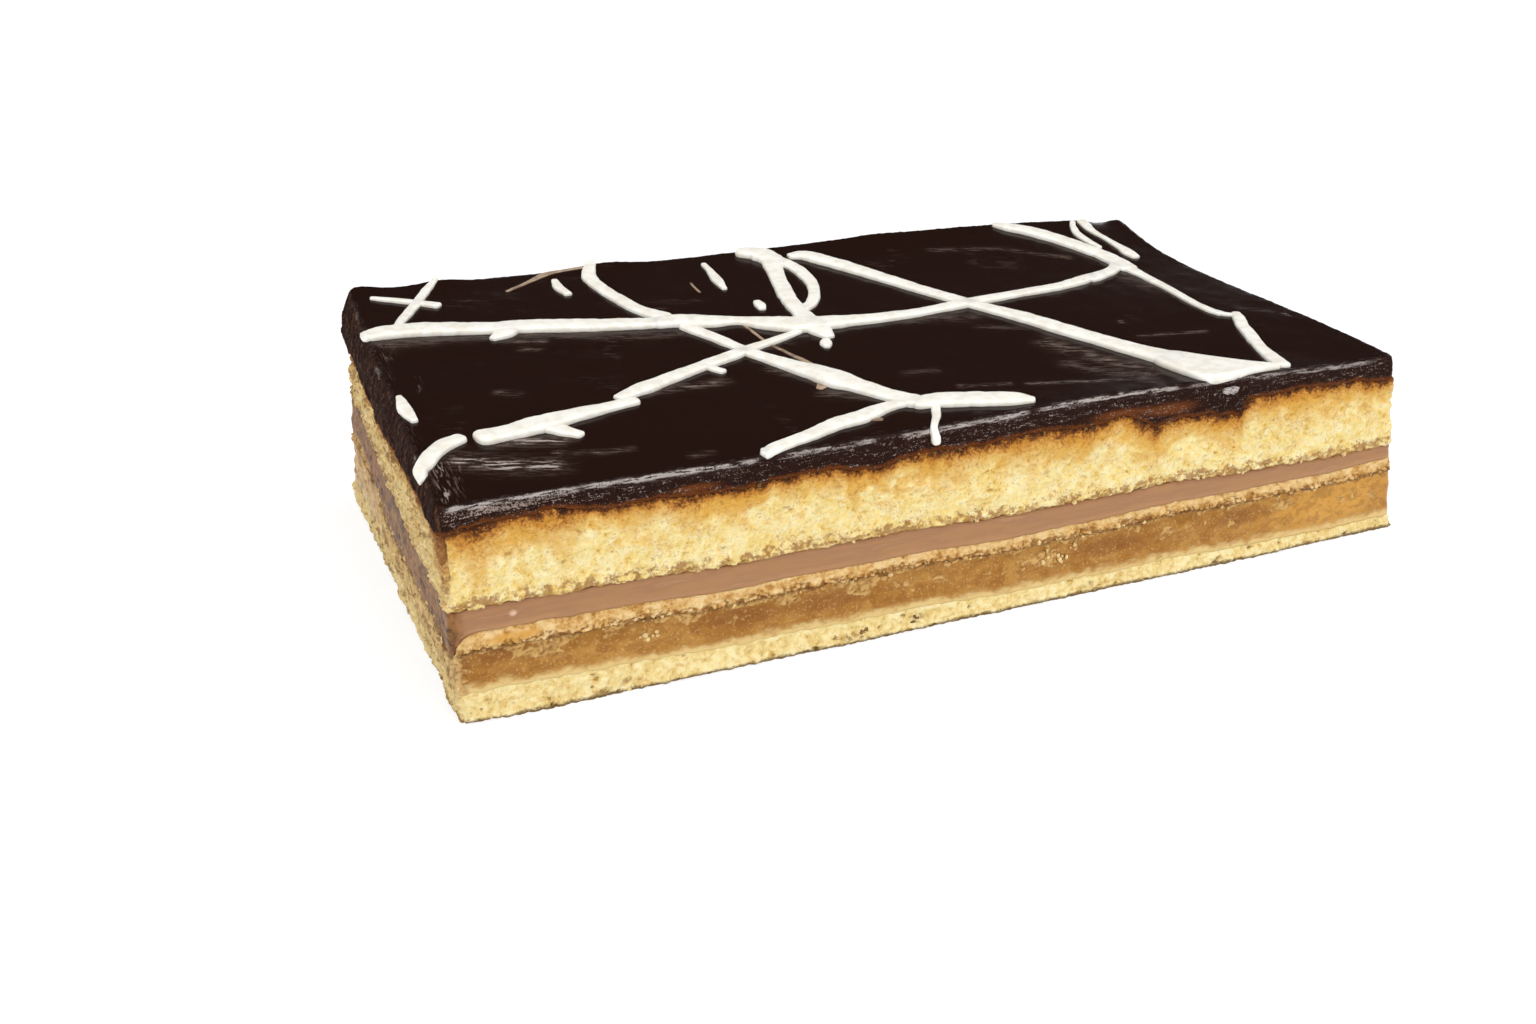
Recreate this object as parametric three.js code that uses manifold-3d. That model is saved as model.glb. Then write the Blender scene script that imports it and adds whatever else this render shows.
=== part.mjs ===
import * as THREE from 'three';
import Module from 'manifold-3d';

const wasm = await Module();
wasm.setup();

// Driving dimensions in millimetres. X runs along the cut front, Y goes back and Z up.
// The cake is cut by hand, so each corner of the bar is a point of its own.
const topCorners = {
  frontLeft: [-94, -47.5, 38.6],
  frontRight: [89.2, -46.4, 36.4],
  backRight: [90.6, 47.2, 39.7],
  backLeft: [-90.9, 47.8, 44.2],
};
const bottomCorners = {
  frontLeft: [-93.6, -46.9, 0],
  frontRight: [94.6, -48.1, 0],
  backRight: [94.2, 46.5, 0],
  backLeft: [-94.5, 46, 0],
};
const nominalLength = 184;
const nominalWidth = 94;
const cornerRadius = 1.4;
const columnPitch = 5.7;
const layerGap = 0.3;
const shortestEdge = 0.04;

// How high each layer ends, as a share of the height of the bar at that corner,
// and how far the layer sags between the two ends of the cut front.
const layerTops = {
  base: { frontLeft: 0.144, frontRight: 0.066, backRight: 0.08, backLeft: 0.12, sag: 0.008 },
  caramel: { frontLeft: 0.337, frontRight: 0.337, backRight: 0.33, backLeft: 0.32, sag: 0.012 },
  middle: { frontLeft: 0.425, frontRight: 0.41, backRight: 0.41, backLeft: 0.4, sag: 0.03 },
  mousse: { frontLeft: 0.53, frontRight: 0.488, backRight: 0.5, backLeft: 0.52, sag: 0 },
  sponge: { frontLeft: 0.9, frontRight: 0.878, backRight: 0.885, backLeft: 0.895, sag: 0 },
};

// The cut sides: how deep the crags are, and how far a layer bellies out between its faces.
const cragDepth = { sponge: 0.45, caramel: 0.3, mousse: 0.16, icing: 0.3 };
const crumbPitch = { along: 6.5, up: 3.4 };
const lipOut = 0.25;
const lipRecess = 0.5;
const rightBow = 3;
const rightSag = 1;

// The icing stands higher along parts of its front and back edges:
// centre along X, lift, half width along X and reach inward, all in millimetres.
const frontLifts = [
  { at: 26, lift: 1.15, spread: 19, reach: 8 },
  { at: 60, lift: 0.5, spread: 9, reach: 6 },
];
const backLifts = [
  { at: 37, lift: 2, spread: 34, reach: 15 },
  { at: -88, lift: 0.9, spread: 2.6, reach: 3 },
  { at: -72, lift: 0.8, spread: 3.4, reach: 3 },
  { at: -38, lift: 1.1, spread: 5.5, reach: 4 },
  { at: 25, lift: 0.4, spread: 5, reach: 3 },
  { at: 85, lift: -1.1, spread: 3.2, reach: 4 },
];

// On the left side the icing is drawn down over the sponge, deepest at the back, and the
// mousse is smeared down over the two layers below it. Each is a wedge that thins to its foot.
// The drop changes from its front to its back value between the two shares of the width.
const cornerReach = 10;
const faceInset = 0.6;
const drawnDown = {
  sponge: { thick: 1.6, bulge: 1.3, dropFront: 2, dropBack: 6.6, turnFrom: 0, turnTo: 0.9, wave: 0.8 },
  middle: { thick: 1.6, bulge: 0.35, dropFront: 5, dropBack: 1.7, turnFrom: 0.62, turnTo: 0.8, wave: 0.5 },
};

// Drizzle: a strand's height grows with its width, and its foot is sunk in the icing.
const strand = { lowest: 0.35, rise: 0.17, sink: 0.9, pitch: 3.7 };

// White drizzle strands: X, Y and width of the strand where its course turns.
const drizzle = {
  backBand: [[-91.3, 22.1, 4.2], [-88, 22.8, 5.4], [-80, 22.1, 5.6], [-70.1, 19.4, 4.8],
    [-60.1, 17.5, 5.4], [-50.2, 14.8, 5], [-38.6, 12.5, 4.4]],
  middleBand: [[-38.2, 12.4, 4.6], [-34.2, 12.1, 5.6], [-28.2, 10.1, 5.2], [-23.2, 9.2, 3.4],
    [-18.1, 6.1, 5.6], [-13.1, 3.8, 6.8], [-8.1, 3.1, 6], [-2.1, 2.7, 4.6], [4.8, 2.3, 3.8],
    [14.7, 2.8, 3.8], [24.6, 4.4, 4.4], [32.6, 5.5, 4.1], [41.6, 6.7, 3.9], [49.8, 8, 3.5],
    [56.9, 10.3, 3.6], [61, 12.1, 2.6]],
  rightBand: [[58.6, 9.9, 2.2], [61, 11.2, 3.2], [65.2, 13.2, 3.2], [68.8, 15.4, 3.1], [71.3, 18, 3.4]],
  bandDrop: [[-65.3, 18.4, 4.4], [-67.3, 16.2, 4.2], [-69.8, 14.3, 1.8]],
  crossLong: [[-87.1, 41, 1.2], [-84.6, 39.7, 1.7], [-80.1, 37.1, 1.8], [-75.9, 33.9, 2.3]],
  crossShort: [[-73.4, 47.2, 1.2], [-75.7, 43.6, 1.8], [-79.1, 36.9, 2], [-82.1, 31.3, 2],
    [-85.2, 25.7, 1.7]],
  dashLeft: [[-50.4, 41.1, 1.4], [-50.8, 37.2, 2.1], [-50.2, 32.6, 1.8]],
  loopLeft: [[-41.1, 46.7, 2.2], [-42.2, 44.4, 2.8], [-43.3, 40.3, 3], [-42.8, 33.5, 3],
    [-41.1, 25.6, 3.1], [-39.1, 19.2, 3.3], [-36.2, 14.9, 4]],
  dashMiddle: [[-17.8, 41.5, 1.3], [-18, 37.3, 1.6], [-18.6, 31.5, 2.2], [-19, 26.7, 1.2]],
  drop: [[-15.5, 17.6, 1.6], [-15.7, 15.7, 2.3], [-16, 13.9, 1.6]],
  longDown: [[-7.5, 45.4, 5], [-4.6, 43.6, 6.2], [-3.1, 39.6, 5.6], [-4.7, 34.3, 4], [-6.3, 28.1, 3.6],
    [-8.2, 20.3, 3.6], [-9.4, 13.5, 3.5], [-9.8, 6.7, 3.9], [-9.9, -0.1, 4.8], [-9.7, -3.2, 2.6]],
  loopRight: [[-2.4, 40, 3.4], [-0.6, 36.4, 3.4], [0.1, 31.4, 3.1], [-0.3, 25.2, 2.7], [-2.3, 19.2, 2.5],
    [-5.2, 14.1, 2.5], [-8.2, 11.5, 2.6]],
  tear: [[-10.8, -4.8, 1.6], [-11.6, -6.3, 2.4], [-12.1, -7.8, 1.4]],
  broadDown: [[2, 40.5, 2.8], [4.7, 40.2, 5], [8.2, 35.7, 5.4], [12.3, 29.1, 5.2], [16.6, 20.7, 4.4],
    [20, 13.9, 4], [23.1, 8, 4.2], [26.9, 1, 4], [30.9, -5.5, 4.9], [35.8, -15.4, 5.2],
    [40.9, -25.2, 5.2], [43.5, -30.1, 5.6], [46.5, -35.2, 7]],
  rightRise: [[64.2, -44.1, 3.2], [65.4, -39.6, 3.1], [67, -34.4, 2.6], [69.3, -28.8, 2.7],
    [71.3, -24.3, 2.5], [73.8, -19.8, 2.5], [75.2, -17.3, 2]],
  rightThin: [[71.9, 15.1, 3.6], [72.3, 9.8, 2.7], [72.1, 0.6, 2.5], [71.3, -7.6, 2.1], [71.2, -13.3, 2.2],
    [72.1, -16.2, 2.2]],
  rightThick: [[57, 44.7, 6.4], [62.2, 41.2, 6.8], [65.9, 36, 6], [69, 30.2, 5.6], [71.2, 24.5, 5.2],
    [72, 19.4, 5], [71.9, 14.5, 4.4]],
  rightLoop: [[76.4, 45, 1.3], [74.7, 41.5, 1.9], [73.6, 37.7, 2.4], [73.6, 33.9, 2.4], [74, 28.7, 1.9]],
  rightDash: [[79.1, 45, 2.6], [78.9, 42.4, 3], [78.6, 38.6, 2.5], [79.3, 33.5, 2.5],
    [79.5, 27.8, 2.9], [79.2, 24.3, 3.2]],
  slantUpper: [[-14, 0.7, 1.6], [-19, -1.6, 2.1], [-24, -3.6, 2.3], [-30, -6.2, 3.3],
    [-38, -9.7, 3.1], [-45, -13, 3.5], [-52, -16.5, 3.7], [-56.3, -18.5, 2.2]],
  slantLower: [[-54.3, -20.6, 2.9], [-60.1, -22, 3.2], [-66.1, -23.4, 4.4], [-72.6, -25.1, 5.4],
    [-78.1, -26.4, 4.8], [-81.7, -26.8, 5]],
  slantBranch: [[-71.1, -25.9, 3.6], [-68.7, -28.6, 3], [-66.9, -30.6, 2.2]],
  edgeCurl: [[-85.5, -26, 3], [-88.1, -27.5, 3.4], [-91, -30.4, 3.2], [-92.8, -33.7, 2.8],
    [-94.4, -36.5, 1.8]],
  edgeSpot: [[-91.2, -6.7, 1.2], [-91.4, -10.8, 2.3], [-91.1, -14.3, 2.2], [-90.7, -17, 1.3]],
  smallDrop: [[-36.8, -10.1, 2], [-34.9, -12.9, 1.7]],
  crossDown: [[-33.8, 9.2, 3.2], [-30.5, 2.3, 2.9], [-28.6, -2, 2.6], [-27.4, -5.4, 3],
    [-24.9, -9.8, 3.3], [-22.2, -14.4, 4.2], [-19.1, -19.1, 5.6], [-17.1, -23.1, 6.4],
    [-14.5, -27.3, 4.9], [-11.9, -31.6, 4.3], [-8.7, -36.3, 4.6]],
  lowRight: [[-8.6, -37.2, 4], [-4.2, -37.5, 5.2], [0.7, -39.1, 5.2], [5.5, -40.9, 5.2], [8.4, -42.1, 5]],
  lowLeft: [[-9.6, -36, 2.6], [-14, -36.6, 3], [-20, -38.9, 3.9], [-26, -40.4, 3.6],
    [-33, -43.3, 3], [-38.5, -45.1, 2.8], [-41, -46.5, 1.8]],
  frontDrip: [[-5.6, -40.4, 1.4], [-8.2, -43, 1.5], [-10.3, -46.7, 1.7], [-10.3, -48.6, 1.8],
    [-10.4, -49.8, 2.2]],
};

// The pool of drizzle that spreads at the front edge: the corners of its outline.
const pool = [[41.8, -33.8], [43.5, -40.6], [44.8, -47], [51.2, -46.7], [57.1, -45.7], [64, -45.5],
  [60.2, -42.9], [56.8, -39.9], [51.9, -35.3], [47.3, -30.7]];
const poolHeight = 1.5;
const poolShoulder = 0.78;

const colors = {
  base: 0xe0c290,
  caramel: 0xb57d3a,
  middle: 0xdfb476,
  mousse: 0xb58a68,
  sponge: 0xe8cc84,
  icing: 0x2a1712,
};

function mix(a, b, t) {
  return a + (b - a) * t;
}

function bell(distance, spread) {
  return Math.exp(-0.5 * (distance / spread) ** 2);
}

function smoothStep(low, high, value) {
  const t = THREE.MathUtils.clamp((value - low) / (high - low), 0, 1);
  return t * t * (3 - 2 * t);
}

// Seeded noise on a square lattice, from -1 to 1.
function latticeValue(i, j, seed) {
  const wave = Math.sin(i * 127.1 + j * 311.7 + seed * 74.7) * 43758.5453;
  return 2 * (wave - Math.floor(wave)) - 1;
}

function noise(x, y, seed) {
  const i = Math.floor(x);
  const j = Math.floor(y);
  const s = smoothStep(0, 1, x - i);
  const t = smoothStep(0, 1, y - j);
  const low = mix(latticeValue(i, j, seed), latticeValue(i + 1, j, seed), s);
  const high = mix(latticeValue(i, j + 1, seed), latticeValue(i + 1, j + 1, seed), s);
  return mix(low, high, t);
}

// A value given at the four corners, at u along the length and v across the width.
function acrossCorners(corners, u, v, pick) {
  const front = mix(pick(corners.frontLeft), pick(corners.frontRight), u);
  const back = mix(pick(corners.backLeft), pick(corners.backRight), u);
  return mix(front, back, v);
}

function nominalTop(u, v) {
  return acrossCorners(topCorners, u, v, (corner) => corner[2]);
}

function rightHollow(u, v) {
  return Math.max(u, 0) ** 8 * Math.sin(Math.PI * THREE.MathUtils.clamp(v, 0, 1) ** 1.9);
}

// The height of the icing's face, with its raised edges and a faint swell.
function icingTop(u, v) {
  const x = acrossCorners(topCorners, u, v, (corner) => corner[0]);
  const fromFront = Math.max(v, 0) * nominalWidth;
  const fromBack = Math.max(1 - v, 0) * nominalWidth;
  let z = nominalTop(u, v) - rightSag * rightHollow(u, v);
  for (const ridge of frontLifts) {
    z += ridge.lift * bell(x - ridge.at, ridge.spread) * Math.exp(-fromFront / ridge.reach);
  }
  for (const ridge of backLifts) {
    z += ridge.lift * bell(x - ridge.at, ridge.spread) * Math.exp(-fromBack / ridge.reach);
  }
  return z + 0.16 * Math.sin(9 * u + 3 * v) * Math.sin(7 * v - 2 * u);
}

function layerTop(name, u, v) {
  const share = acrossCorners(layerTops[name], u, v, (corner) => corner)
    - layerTops[name].sag * Math.sin(Math.PI * u);
  const swell = 0.22 * Math.sin(19.5 * u + 10.7 * v) + 0.14 * Math.sin(45.9 * u - 25.8 * v);
  return share * nominalTop(u, v) + swell;
}

// A point on or inside the bar. Height z is real, u and v run over the bar's plan.
function barPoint(u, v, z, outward, push) {
  const share = z / nominalTop(u, v);
  const x = mix(acrossCorners(bottomCorners, u, v, (corner) => corner[0]),
    acrossCorners(topCorners, u, v, (corner) => corner[0]), share);
  const y = mix(acrossCorners(bottomCorners, u, v, (corner) => corner[1]),
    acrossCorners(topCorners, u, v, (corner) => corner[1]), share);
  const bow = rightBow * share * rightHollow(u, v);
  return new THREE.Vector3(x + outward.x * push - bow, y + outward.y * push, z);
}

// The bar's plan: columns counter-clockwise from the front left corner, with rounded corners.
function planColumns() {
  const halfLength = nominalLength / 2;
  const halfWidth = nominalWidth / 2;
  const turns = [
    { x: halfLength, y: -halfWidth, run: nominalLength, heading: 0 },
    { x: halfLength, y: halfWidth, run: nominalWidth, heading: Math.PI / 2 },
    { x: -halfLength, y: halfWidth, run: nominalLength, heading: Math.PI },
    { x: -halfLength, y: -halfWidth, run: nominalWidth, heading: 1.5 * Math.PI },
  ];
  const columns = [];
  let walked = 0;
  for (const turn of turns) {
    const along = new THREE.Vector2(Math.cos(turn.heading), Math.sin(turn.heading));
    const outward = new THREE.Vector2(along.y, -along.x);
    const straight = turn.run - 2 * cornerRadius;
    const count = Math.round(straight / columnPitch);
    for (let i = 0; i <= count; i += 1) {
      const back = cornerRadius + straight * (1 - i / count);
      const at = new THREE.Vector2(turn.x, turn.y).addScaledVector(along, -back);
      columns.push({ at, outward, walked: walked + turn.run - back });
    }
    const centre = new THREE.Vector2(turn.x, turn.y)
      .addScaledVector(along, -cornerRadius).addScaledVector(outward, -cornerRadius);
    const half = turn.heading - Math.PI / 4;
    const outwardHalf = new THREE.Vector2(Math.cos(half), Math.sin(half));
    const at = centre.addScaledVector(outwardHalf, cornerRadius);
    columns.push({ at, outward: outwardHalf, walked: walked + turn.run });
    walked += turn.run;
  }
  return columns.map((column) => ({
    u: column.at.x / nominalLength + 0.5,
    v: column.at.y / nominalWidth + 0.5,
    outward: column.outward,
    walked: column.walked,
  }));
}

const columns = planColumns();

// 1 on the left side, fading to 0 along the front and the back near its corners.
function leftShare(u) {
  return THREE.MathUtils.clamp(1 - (u * nominalLength) / cornerReach, 0, 1);
}

function drop(name, u, v) {
  const { dropFront, dropBack, turnFrom, turnTo, wave } = drawnDown[name];
  const fall = mix(dropFront, dropBack, smoothStep(turnFrom, turnTo, v)) + wave * noise(v * 9, 0, 3);
  return leftShare(u) * fall;
}

// The foot of the wedge that is drawn down from the top face of the named layer.
function footOf(name, column) {
  return layerTop(name, column.u, column.v) - drop(name, column.u, column.v);
}

// How much of the wedge is there at height z: nothing at its foot, all of it at its root.
function wedgeShare(name, column, z) {
  const fall = drop(name, column.u, column.v);
  if (fall < shortestEdge) {
    return 0;
  }
  return THREE.MathUtils.clamp((z - footOf(name, column)) / fall, 0, 1);
}

// One ring of points round the bar at the height that heightAt gives for each column.
// insetAt draws the whole ring in, and coverAt draws it in from the left side alone.
function ring(heightAt, pushAt, { insetAt = () => 0, coverAt = () => 0 } = {}) {
  return columns.map((column) => {
    const z = heightAt(column);
    const inset = insetAt(column, z);
    const u = 0.5 + (column.u - 0.5) * (1 - (2 * inset) / nominalLength);
    const v = 0.5 + (column.v - 0.5) * (1 - (2 * inset) / nominalWidth);
    const point = barPoint(u, v, z, column.outward, pushAt(column, z));
    const cover = coverAt(column, z) * leftShare(column.u);
    const fromFront = (column.v * nominalWidth) / cornerReach;
    const fromBack = ((1 - column.v) * nominalWidth) / cornerReach;
    point.x += cover;
    point.y += cover * (Math.max(0, 1 - fromFront) - Math.max(0, 1 - fromBack));
    return point;
  });
}

function waver(column, z) {
  return 0.32 * noise(column.walked / 17, z / 30, 5);
}

// A ring drawn in towards the middle of the icing's face.
function faceRing(inset, drop) {
  const shrinkU = 1 - (2 * inset) / nominalLength;
  const shrinkV = 1 - (2 * inset) / nominalWidth;
  return columns.map((column) => {
    const u = 0.5 + (column.u - 0.5) * shrinkU;
    const v = 0.5 + (column.v - 0.5) * shrinkV;
    return barPoint(u, v, icingTop(u, v) - drop, column.outward, 0);
  });
}

function capTriangles(points) {
  const flat = points.map((point) => new THREE.Vector2(point.x, point.y));
  return THREE.ShapeUtils.triangulateShape(flat, []);
}

// The layers' faces are split by lines that run from the left and front sides across to the
// back and right sides, so no triangle lies along a side. Faces above and below a gap are
// split alike, so they stay parallel.
function planSplit() {
  const count = columns.length;
  const start = columns.reduce((best, { u, v }, i) => (
    v - u > columns[best].v - columns[best].u ? i : best), 0);
  const triangles = [];
  for (let i = 0; i < count / 2; i += 1) {
    const near = (start + i) % count;
    const nearNext = (near + 1) % count;
    const far = (start - i + count) % count;
    const farNext = (far - 1 + count) % count;
    if (nearNext !== farNext) {
      triangles.push([near, nearNext, farNext]);
    }
    if (near !== far) {
      triangles.push([near, farNext, far]);
    }
  }
  return triangles;
}

const planTriangles = planSplit();
const planTrianglesDown = planTriangles.map(([a, b, c]) => [c, b, a]);

// Joins points and triangles into a manifold solid.
function toSolid(points, triangles) {
  const mesh = new wasm.Mesh({
    numProp: 3,
    vertProperties: new Float32Array(points.flatMap((point) => [point.x, point.y, point.z])),
    triVerts: new Uint32Array(triangles.flat()),
    tolerance: shortestEdge,
  });
  return new wasm.Manifold(mesh);
}

// A solid skinned over rings from the lowest to the innermost at the top.
// Every ring has the same count of points, counter-clockwise seen from its end.
// The first crossedRows rows are split along their other diagonal.
function skinned(rings, crossedRows = 0) {
  const count = rings[0].length;
  const triangles = [];
  for (let r = 0; r + 1 < rings.length; r += 1) {
    for (let i = 0; i < count; i += 1) {
      const next = (i + 1) % count;
      const low = r * count;
      const high = low + count;
      if (r < crossedRows) {
        triangles.push([low + i, low + next, high + i], [low + next, high + next, high + i]);
      } else {
        triangles.push([low + i, low + next, high + next], [low + i, high + next, high + i]);
      }
    }
  }
  return { points: rings.flat(), triangles, lastRing: (rings.length - 1) * count };
}

// Closes rings from the bottom face to the top face into a layer.
function closedLayer(rings, crossedRows = 0) {
  const body = skinned(rings, crossedRows);
  const topCap = planTriangles.map((face) => face.map((i) => i + body.lastRing));
  return toSolid(body.points, [...body.triangles, ...planTrianglesDown, ...topCap]);
}

// The rings of a layer's cut side, with crags on those between its two faces.
function sideRings({ bottomAt, topAt, rows, crag, seed, belly = 0, bulge = 0, ...rest }) {
  const { bottomPush = 0, topPush = 0, insetAt, coverAt } = rest;
  const rings = [];
  for (let row = 0; row <= rows; row += 1) {
    const t = row / rows;
    const inner = row > 0 && row < rows;
    rings.push(ring(
      (column) => mix(bottomAt(column), topAt(column), t),
      (column, z) => {
        const left = leftShare(column.u);
        const rough = noise(column.walked / crumbPitch.along, z / crumbPitch.up, seed);
        const proud = bulge * left * mix(0.4, 1, column.v) * Math.sin(Math.PI * mix(0.12, 1, t));
        const swell = belly * Math.sin(Math.PI * t);
        const step = mix(bottomPush, topPush, t) * (1 - left);
        return waver(column, z) + step + swell + proud + (inner ? crag * rough : 0);
      },
      { insetAt, coverAt },
    ));
  }
  return rings;
}

// A layer of the bar: bottom face, cut sides with crags, top face.
function layerSolid(shape) {
  return closedLayer(sideRings(shape));
}

function above(name) {
  return (column) => layerTop(name, column.u, column.v) + layerGap / 2;
}

function below(name) {
  return (column) => layerTop(name, column.u, column.v) - layerGap / 2;
}

// Just under the foot of a wedge, kept within a layer's own height.
function underFoot(name, bottomAt, topAt) {
  return (column) => {
    const low = bottomAt(column);
    const high = topAt(column);
    const foot = footOf(name, column) - layerGap;
    const held = THREE.MathUtils.clamp(foot, mix(low, high, 0.3), mix(low, high, 0.75));
    return mix(mix(low, high, 0.7), held, leftShare(column.u));
  };
}

// The underside of a layer that is drawn down on the left: an inner ring at the root
// of the wedge, from which the wedge runs down and out to its foot.
function rootRing(name) {
  return ring(above(name), waver, {
    insetAt: () => faceInset, coverAt: () => drawnDown[name].thick,
  });
}

function footAt(name) {
  return (column) => footOf(name, column) + layerGap / 2;
}

// Where a drizzle path lies: on the icing's face, or past an edge and down the side.
function onIcing(x, y) {
  let u = 0.5;
  let v = 0.5;
  for (let pass = 0; pass < 5; pass += 1) {
    const left = mix(topCorners.frontLeft[0], topCorners.backLeft[0], v);
    const right = mix(topCorners.frontRight[0], topCorners.backRight[0], v);
    u = (x - left) / (right - left);
    const front = mix(topCorners.frontLeft[1], topCorners.frontRight[1], u);
    const back = mix(topCorners.backLeft[1], topCorners.backRight[1], u);
    v = (y - front) / (back - front);
  }
  const pastFront = Math.max(0, -v) * nominalWidth;
  const pastLeft = Math.max(0, -u) * nominalLength;
  const heldU = Math.max(u, 0);
  const heldV = Math.max(v, 0);
  const flat = new THREE.Vector2(0, 0);
  const point = barPoint(heldU, heldV, icingTop(heldU, heldV), flat, 0);
  point.z -= pastFront + pastLeft;
  const normal = new THREE.Vector3(
    -smoothStep(-0.8, 1, pastLeft > 0 ? pastLeft : -u * nominalLength),
    -smoothStep(-0.8, 1, pastFront > 0 ? pastFront : -v * nominalWidth),
    0,
  );
  normal.z = Math.sqrt(Math.max(0, 1 - Math.min(1, normal.lengthSq())));
  return { point, normal: normal.normalize() };
}

function strandHeight(width) {
  return strand.lowest + strand.rise * width;
}

// One drizzle strand: half-round sections along a smooth course, drawn in at both ends.
function strandSolid(course) {
  const path = new THREE.CatmullRomCurve3(course.map(([x, y, w]) => new THREE.Vector3(x, y, w)),
    false, 'centripetal');
  const steps = Math.max(3, Math.round(path.getLength() / strand.pitch));
  const samples = [];
  for (let i = 0; i <= steps; i += 1) {
    const at = path.getPointAt(i / steps);
    const heading = path.getTangentAt(i / steps).setZ(0).normalize();
    samples.push({ at, heading, width: at.z });
  }
  const first = samples[0];
  const last = samples[samples.length - 1];
  const tips = [first, last].map((end, side) => {
    const outward = end.heading.clone().multiplyScalar(side === 0 ? -1 : 1);
    const at = end.at.clone().addScaledVector(outward, 0.36 * end.width);
    return { at, heading: end.heading, width: 0.5 * end.width };
  });
  const rings = [tips[0], ...samples, tips[1]].map(({ at, heading, width }) => {
    const { point, normal } = onIcing(at.x, at.y);
    const forward = heading.clone().addScaledVector(normal, -heading.dot(normal)).normalize();
    const side = new THREE.Vector3().crossVectors(normal, forward);
    const rise = strandHeight(width);
    const section = [
      [0.5, -strand.sink],
      [0.43, 0.5 * rise],
      [0, rise],
      [-0.43, 0.5 * rise],
      [-0.5, -strand.sink],
    ];
    return section.map(([across, up]) => point.clone()
      .addScaledVector(side, across * width).addScaledVector(normal, up));
  });
  const body = skinned(rings);
  const startCap = [[2, 1, 0], [3, 2, 0], [4, 3, 0]];
  const endCap = startCap.map(([a, b, c]) => [c, b, a].map((i) => i + body.lastRing));
  return toSolid(body.points, [...body.triangles, ...startCap, ...endCap]);
}

// The pool: its outline sunk in the icing, a shoulder and a low crown.
function poolSolid() {
  const middle = pool.reduce((sum, [x, y]) => [sum[0] + x, sum[1] + y], [0, 0])
    .map((total) => total / pool.length);
  const levels = [[1, -strand.sink], [0.96, 0.5 * poolHeight], [poolShoulder, poolHeight]];
  const outline = [...pool].reverse();
  const counterClockwise = THREE.ShapeUtils.area(pool.map(([x, y]) => new THREE.Vector2(x, y))) > 0;
  const corners = counterClockwise ? pool : outline;
  const rings = levels.map(([share, up]) => corners.map(([x, y]) => {
    const { point } = onIcing(mix(middle[0], x, share), mix(middle[1], y, share));
    return point.setZ(point.z + up);
  }));
  const body = skinned(rings);
  const bottomCap = capTriangles(rings[0]).map(([a, b, c]) => [c, b, a]);
  const topCap = capTriangles(rings[2]).map((face) => face.map((i) => i + body.lastRing));
  return toSolid(body.points, [...body.triangles, ...bottomCap, ...topCap]);
}

function icingSlab() {
  const rimDrop = 0.7;
  const side = sideRings({
    bottomAt: footAt('sponge'),
    topAt: (column) => icingTop(column.u, column.v) - rimDrop,
    rows: 2,
    crag: cragDepth.icing,
    seed: 61,
    belly: 0.1,
    bulge: drawnDown.sponge.bulge,
  });
  const face = [faceRing(0.8, 0.1), ...[3, 9, 20].map((inset) => faceRing(inset, 0))];
  return closedLayer([rootRing('sponge'), ...side, ...face], 1);
}

function chocolateIcing() {
  let solid = icingSlab();
  for (const course of Object.values(drizzle)) {
    solid = solid.add(strandSolid(course));
  }
  return solid.add(poolSolid());
}

function upperSponge() {
  const side = sideRings({
    bottomAt: above('mousse'),
    topAt: (column) => footOf('sponge', column) - layerGap / 2 - layerGap * leftShare(column.u),
    rows: 5,
    crag: cragDepth.sponge,
    seed: 51,
  });
  const face = ring(below('sponge'), waver, {
    insetAt: () => faceInset + layerGap, coverAt: () => drawnDown.sponge.thick + layerGap,
  });
  return closedLayer([...side, face]);
}

function mochaMousse() {
  const side = sideRings({
    bottomAt: footAt('middle'),
    topAt: below('mousse'),
    rows: 2,
    crag: cragDepth.mousse,
    seed: 41,
    belly: -0.1,
    bulge: drawnDown.middle.bulge,
  });
  return closedLayer([rootRing('middle'), ...side], 1);
}

// The two layers under the mousse stand back behind the wedge that covers them.
function coveredLayer({ bottomAt, topAt, rows, bottomPush = 0, topPush = 0, ...shape }) {
  const behind = {
    insetAt: (column, z) => {
      const clear = z > footOf('middle', column) - layerGap ? 2 * layerGap : 0;
      return faceInset * wedgeShare('middle', column, z) + clear;
    },
    coverAt: (column, z) => drawnDown.middle.thick * wedgeShare('middle', column, z),
  };
  const turn = underFoot('middle', bottomAt, topAt);
  const low = sideRings({ ...shape, ...behind, bottomAt, topAt: turn, rows, bottomPush });
  const high = sideRings({ ...shape, ...behind, bottomAt: turn, topAt, rows: 1, topPush });
  return closedLayer([...low, high[high.length - 1]]);
}

function middleSponge() {
  return coveredLayer({
    bottomAt: above('caramel'), topAt: below('middle'), rows: 1, crag: cragDepth.caramel, seed: 31,
    bottomPush: lipOut,
  });
}

function caramelLayer() {
  return coveredLayer({
    bottomAt: above('base'), topAt: below('caramel'), rows: 2, crag: cragDepth.caramel, seed: 21,
    topPush: -lipRecess,
  });
}

function baseSponge() {
  return layerSolid({
    bottomAt: () => 0, topAt: below('base'), rows: 2, crag: cragDepth.sponge, seed: 11,
  });
}

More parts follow.
